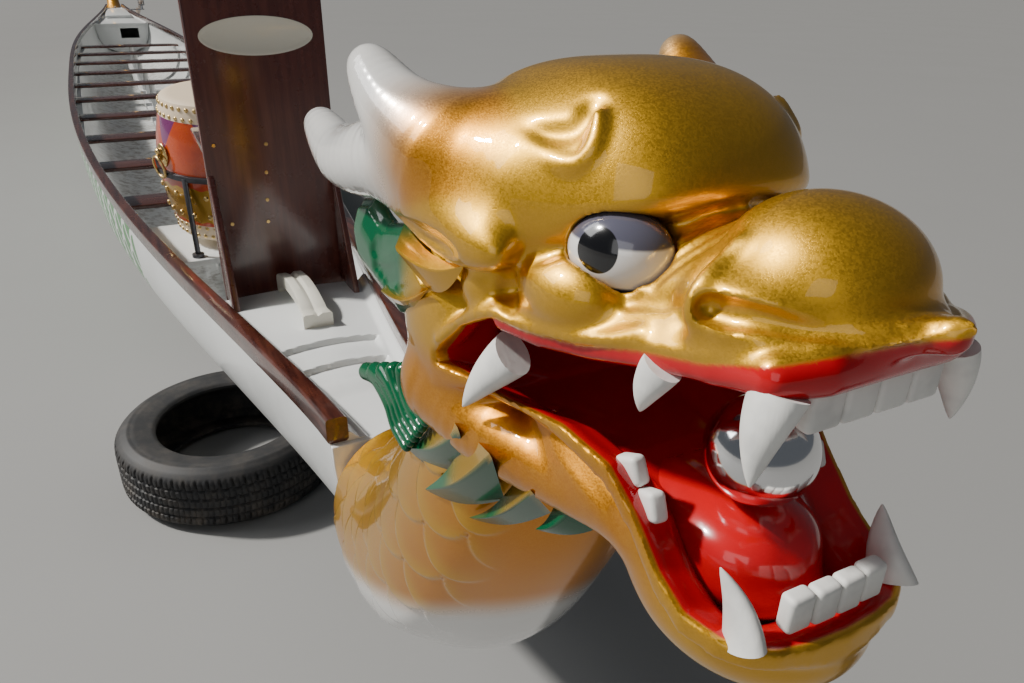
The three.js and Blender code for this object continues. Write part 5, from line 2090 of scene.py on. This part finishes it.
@dataclass
class Mouth:
    """Teeth, tongue and the chrome ball."""

    ball: Point = (7.066, 0.0, 1.0773)
    radius: float = 0.039
    fangs: tuple[tuple[str, Point, Point, float, float], ...] = (
        ("upper", (7.131, 0.067, 1.173), (7.136, 0.082, 1.120), 0.0168, 0.75),
        ("upper", (6.917, 0.114, 1.106), (6.875, 0.138, 1.042), 0.0195, 0.75),
        ("upper", (7.058, 0.086, 1.158), (7.043, 0.088, 1.118), 0.0140, 0.70),
        ("lower", (7.141, 0.066, 0.997), (7.116, 0.071, 1.042), 0.0175, 0.55),
    )

    def build(self) -> None:
        """Fangs and blocks, each a bevelled or drawn-out solid."""
        ball = SHOP.smooth(SHOP.ball(self.ball, (self.radius,) * 3, 48))
        shown(ball, "mouth_ball_chrome", BOAT, CHROME, ["mouth_ball"])
        tongue = cast(
            (6.93, 0, 0.94), (7.16, 0.08, 1.06), 0.0024,
            lambda s: relief(s, blend(lump(s, (7.050, 0, .998), (.078, .056, .038), -10),
                                      lump(s, (7.068, 0, 1.012), (.05, .050, .027)), .01),
                             ((6.98, 0, 1.035), (7.05, 0, 1.042), (7.11, 0, 1.030)), -.006, .012),
            mirror=True,
        )
        shown(tongue, "tongue_red", BOAT, RED, ["tongue"])
        rows = {"upper": [], "lower": []}
        for row, base, tip, radius, flat in self.fangs:
            for side in Side:
                rows[row].append(self.fang(side, base, tip, radius, flat))
        for y in (-.0393, -.0131, .0131, .0393):
            rows["upper"].append(self.block_tooth((7.136, y, 1.160), (0.012, 0.0258, 0.028)))
        for y in (-.0312, -.0104, .0104, .0312):
            at = (7.146 - 1.5 * y * y, y, 1.016)
            rows["lower"].append(self.block_tooth(at, (0.013, 0.0204, 0.028)))
        for side in Side:
            for x, y, z, turn in ((7.024, .074, 1.056, -8), (7.048, .073, 1.042, 4)):
                at = (x, side.value * y, z)
                rows["lower"].append(self.block_tooth(at, (0.022, 0.013, 0.022), turn, 25))
        for row, group in rows.items():
            teeth = SHOP.smooth(SHOP.join(group))
            shown(teeth, f"teeth_{row}_set", BOAT, TOOTH, [f"teeth_{row}"])

    def fang(self, side: Side, base: Point, tip: Point, radius: float, flat: float) -> Piece:
        """A fang: a cone drawn to a bent point, flatter across than along the jaw.

        Args:
            side: which side of the mouth.
            base: its root on port.
            tip: its point on port.
            radius: half its width at the root.
            flat: share of that across the jaw.

        Returns:
            The closed fang.
        """
        root, point = Vector(base), Vector(tip)
        axis = (point - root).normalized()
        across = axis.cross(Vector((1, 0, 0))).normalized()
        along = across.cross(axis).normalized()
        rings = []
        for t in np.linspace(0, 1, 14):
            middle = root.lerp(point, float(t)) - across * (0.004 * math.sin(math.pi * t))
            size = radius * (1 - t ** 1.35) ** 0.85 + 0.0008
            ring = [middle + along * (size * math.cos(a)) + across * (size * flat * math.sin(a))
                    for a in np.linspace(0, 2 * math.pi, 24, endpoint=False)]
            rings.append([(p.x, p.y * side.value, p.z) for p in ring])
        return Skin.loft(np.array(rings)).piece()

    def block_tooth(self, at: Point, size: Point, turn: float = 0, tip: float = 0) -> Piece:
        """A front tooth: a rounded block.

        Args:
            at: its middle.
            size: its length, width and height.
            turn: degrees that it turns about the upright.
            tip: degrees that it tips along the jaw.

        Returns:
            The tooth.
        """
        low, high = (tuple(a + end * s / 2 for a, s in zip(at, size)) for end in (-1, 1))
        piece = SHOP.block(low, high)
        SHOP.edit(piece, lambda: bpy.ops.transform.rotate(
            value=math.radians(tip), orient_axis="Y", orient_type="GLOBAL", center_override=at))
        SHOP.edit(piece, lambda: bpy.ops.transform.rotate(
            value=math.radians(turn), orient_axis="Z", orient_type="GLOBAL", center_override=at))
        SHOP.bevel(piece, 0.004, 4)
        return piece


@dataclass
class Eyes:
    """The painted eyes under the brow."""

    radii: Point = (0.037, 0.026, 0.029)
    yaw: float = -30.0
    pupil: Point = (6.9915, 0.0955, 1.2095)
    pupil_radius: float = 0.0155

    def build(self) -> None:
        """An almond ball a side with its pupil."""
        for side in Side:
            piece = SHOP.ball((0, 0, 0), self.radii, 48)
            turn = Matrix.Rotation(math.radians(self.yaw), 4, "Z")
            flip = Matrix.Diagonal((1, side.value, 1, 1))
            piece.data.transform(flip @ Matrix.Translation(EYE_AT) @ turn)
            SHOP.edit(piece, lambda: bpy.ops.mesh.normals_make_consistent(inside=False))
            points = corners_of(piece) * np.array([1, side.value, 1])
            gap = np.linalg.norm(points - np.array(self.pupil), axis=1)
            share(piece, "pupil", np.clip(0.5 + (self.pupil_radius - gap) / 0.01, 0, 1))
            # Dark bands at the eye's top and bottom: the lids' painted outline and painted shade under
            # the lids.
            share(piece, "rim", step(0.010, 0.017, np.abs(points[:, 2] - EYE_AT[2] + 0.004)))
            shown(SHOP.smooth(piece), f"eye_ball_{side.word}", BOAT, EYE, [f"eye_{side.word}"])


@dataclass
class Mane:
    """The green mane behind each cheek: a grooved fan with gold leaves, a ribbed column, and spikes."""

    fan: tuple[tuple[float, float], ...] = (
        (6.639, 1.154), (6.625, 1.135), (6.633, 1.107), (6.647, 1.084), (6.679, 1.081), (6.715, 1.078),
        (6.763, 1.076), (6.809, 1.096), (6.830, 1.133), (6.802, 1.147), (6.788, 1.171), (6.723, 1.153),
        (6.708, 1.155), (6.677, 1.164),
    )
    fan_middle: float = 0.146
    fan_half: float = 0.011
    fan_round: float = 0.002
    fan_bevel: float = 0.030  # how far in from its edge the fan's outer face falls away
    fan_fall: float = 0.010
    rib_count: int = 6
    grooves: tuple[tuple[Point, ...], ...] = (
        ((6.714, .158, 1.134), (6.731, .158, 1.139), (6.748, .158, 1.146), (6.799, .158, 1.172)),
        ((6.712, .158, 1.127), (6.737, .158, 1.135), (6.754, .158, 1.143), (6.804, .158, 1.168)),
        ((6.718, .158, 1.123), (6.742, .158, 1.129), (6.759, .158, 1.136), (6.811, .158, 1.163)),
        ((6.719, .158, 1.113), (6.747, .158, 1.122), (6.764, .158, 1.130), (6.813, .158, 1.157)),
        ((6.732, .158, 1.110), (6.757, .158, 1.120), (6.776, .158, 1.129), (6.815, .158, 1.152)),
        ((6.744, .158, 1.107), (6.768, .158, 1.117), (6.787, .158, 1.128), (6.825, .158, 1.148)),
        ((6.779, .158, 1.114), (6.815, .158, 1.131), (6.852, .158, 1.147)),
    )
    left: tuple[Point, ...] = (
        (6.618, .145, .949), (6.657, .145, .958), (6.694, .145, .949), (6.713, .145, .930),
        (6.744, .145, .923))
    right: tuple[Point, ...] = (
        (6.765, .138, 1.020), (6.757, .140, 1.000), (6.765, .142, .990), (6.781, .143, .988),
        (6.800, .143, .985))
    spikes: tuple[tuple[Point, ...], ...] = (
        ((6.714, .140, .977), (6.743, .128, 1.015), (6.811, .142, 1.023), (6.790, .118, .984)),
        ((6.729, .140, .912), (6.805, .128, 1.005), (6.875, .142, 1.020), (6.825, .110, .924)),
        ((6.782, .140, .894), (6.855, .124, 1.000), (6.925, .136, 1.024), (6.880, .100, .935)),
        ((6.841, .118, .894), (6.900, .098, .975), (6.950, .112, .998), (6.929, .080, .950)),
        ((6.938, .100, .947), (6.940, .078, .985), (6.985, .093, 1.009), (7.000, .060, .990)),
    )
    leaves: tuple[tuple[Point, ...], ...] = (
        ((6.883, .140, 1.168), (6.780, .148, 1.173), (6.810, .168, 1.162), (6.825, .146, 1.128)),
        ((6.834, .150, 1.133), (6.729, .148, 1.102), (6.760, .167, 1.106), (6.732, .146, 1.078)),
    )

    def field(self, space: Space) -> np.ndarray:
        """The fan, grooved, and the ribbed column below it.

        Args:
            space: the grid's points.

        Returns:
            The distance from the form, less than 0 inside.
        """
        x, y, z = space
        outline = [*self.fan, self.fan[0]]
        gap, inside = aside(x, z, outline), np.zeros(x.shape, dtype=bool)
        for (ax, az), (bx, bz) in zip(outline, outline[1:]):
            inside ^= ((az > z) != (bz > z)) & (x < ax + (z - az) * (bx - ax) / (bz - az))
        flat = np.where(inside, -gap, gap)
        form = np.maximum(flat, np.abs(y - self.fan_middle) - self.fan_half) - self.fan_round
        worn = step(.0, self.fan_bevel, flat + self.fan_bevel) * step(.14, .15, y)
        form = form + self.fan_fall * worn
        for line in self.grooves:
            form = relief(space, form, line, -.009, .0042)
        ribs = None
        for t in np.linspace(0, 1, self.rib_count):
            line = (1 - t) * np.array(self.left) + t * np.array(self.right)
            rib = strand(space, curl(line, 4), drawn([.011, .0085, .0075, .007, .0055], 4))
            ribs = rib if ribs is None else blend(ribs, rib, .0015)
        return np.minimum(form, ribs)

    def spike(self, side: Side, tip: Point, above: Point, ridge: Point, below: Point) -> Piece:
        """A faceted spike: a triangle with bevelled edges drawn out to a bent tip.

        Args:
            side: its side of the boat.
            tip: its end.
            above, ridge, below: the root's corners.

        Returns:
            The spike.
        """
        root = np.array([above, ridge, below])
        centre = root.mean(axis=0)
        section = []
        for a, b in zip(root, np.roll(root, -1, axis=0)):
            for t in (0.06, 0.12, 0.3, 0.5, 0.7, 0.88, 0.94):
                section.append(a + (b - a) * t)
        section = np.array(section)
        rings = []
        for t in np.linspace(0, 1, 16):
            size = (1 - t) ** 0.92 + 0.02
            sag = np.array([0, 0, -0.010]) * math.sin(math.pi * t)
            middle = centre + (np.array(tip) - centre) * t + sag
            rings.append(middle + (section - centre) * size)
        made = np.array(rings) * np.array([1, side.value, 1])
        return Skin.loft(made).piece()

    def build(self) -> None:
        """One piece of fan and column a side, and one of spikes."""
        for side in Side:
            piece = cast((6.59, 0.115, 0.885), (6.86, 0.185, 1.20), 0.0022, self.field)
            if side is Side.STARBOARD:
                piece.data.transform(Matrix.Diagonal((1, -1, 1, 1)))
                SHOP.edit(piece, lambda: bpy.ops.mesh.normals_make_consistent(inside=False))
            x, _, z = corners_of(piece).T
            shares(piece, leaf=1 - 0.85 * step(6.77, 6.82, x) * step(1.04, 1.06, z))
            parts = []
            for tip, above, ridge, below in (*self.spikes, *self.leaves):
                lock = self.spike(side, tip, above, ridge, below)
                points = corners_of(lock) * np.array([1, side.value, 1])
                reach = np.linalg.norm(points - np.array(tip), axis=1)
                # Facets that face down are painted wholly green, darker than the gilt: painted shade on
                # the spikes' undersides.
                under = 1 - step(-0.2, 0.35, facing(lock))
                green = np.maximum(1 - 0.75 * step(0.050, 0.120, reach), under)
                if tip[2] > 1.1:
                    green = step(0.06, 0.10, reach)
                shares(lock, leaf=green)
                parts.append(lock)
            joined = SHOP.join([piece, *parts])
            shown(joined, f"mane_locks_{side.word}", BOAT, GOLD, [f"mane_{side.word}"])


# Studio


@dataclass
class Set:
    """Camera, floor and light."""

    eye: Point = (7.3794, -0.3527, 1.3740)
    ahead: Point = (-0.7966, 0.4093, -0.4449)
    level: Point = (0.4570, 0.8895, 0.0)
    over: Point = (-0.3957, 0.2033, 0.8956)
    roll: float = 0.019
    focal: float = 773.08
    frame_width: int = 1024
    sun_from: Point = (-0.52, -0.76, 0.88)
    subject: Point = (6.9, 0.0, 1.0)
    softboxes: tuple[tuple[str, Point, float, float], ...] = (
        ("fill", (11.5, -6.5, 4.2), 5.0, 90.0),
        ("back", (3.0, -5.0, 5.5), 3.5, 200.0),
    )

    def build(self) -> None:
        """Sets up the shot."""
        c, s = math.cos(self.roll), math.sin(self.roll)
        level, over = Vector(self.level), Vector(self.over)
        right, up = level * c + over * s, over * c - level * s
        turn = Matrix((right, up, -Vector(self.ahead))).transposed()
        data = bpy.data.cameras.new("camera")
        data.sensor_width = 36.0
        data.lens = self.focal / self.frame_width * data.sensor_width
        data.clip_start = 0.02
        camera = bpy.data.objects.new("camera", data)
        bpy.context.collection.objects.link(camera)
        x, y, z = self.eye
        camera.matrix_world = Matrix.Translation((x + SHIFT, y, z)) @ turn.to_4x4()
        bpy.context.scene.camera = camera
        SHOP.only()
        bpy.ops.mesh.primitive_plane_add(size=400)
        floor = bpy.context.object
        floor.name = "floor"
        SHOP.edit(floor, lambda: bpy.ops.transform.translate(value=(0, 0, -0.0005)))
        FLOOR.dress(floor)
        world = bpy.data.worlds.new("world")
        bpy.context.scene.world = world
        world.use_nodes = True
        tree = world.node_tree
        sky = tree.nodes["Background"]
        sky.inputs["Color"].default_value = tint(0.80, 0.86, 0.95)
        sky.inputs["Strength"].default_value = 0.11
        sun = bpy.data.lights.new("key", "SUN")
        sun.energy = 4.8
        sun.angle = math.radians(4)
        sun.color = (1.0, 0.965, 0.91)
        key = bpy.data.objects.new("key", sun)
        key.matrix_world = Vector(self.sun_from).to_track_quat("Z", "Y").to_matrix().to_4x4()
        bpy.context.collection.objects.link(key)
        for name, place, size, power in self.softboxes:
            area = bpy.data.lights.new(name, "AREA")
            area.energy = power
            area.size = size
            box = bpy.data.objects.new(name, area)
            aim = (Vector(place) - Vector(self.subject)).to_track_quat("Z", "Y")
            box.matrix_world = Matrix.Translation(place) @ aim.to_matrix().to_4x4()
            bpy.context.collection.objects.link(box)


def main() -> None:
    """Builds the shot and the boat, bow to stern."""
    logging.basicConfig(level=logging.INFO, format="%(message)s")
    Set().build()
    Shell().build()
    Caps().build()
    Interior().build()
    BowDeck().build()
    BowHandle().build()
    DrummerSeat().build()
    Drum().build()
    Neck().build()
    Head().build()
    Eyes().build()
    Mouth().build()
    Mane().build()
    Stern().build()
    Tail().build()
    TyreSupport().build()
    SteeringOar().build()
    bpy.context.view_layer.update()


if __name__ == "__main__":
    main()
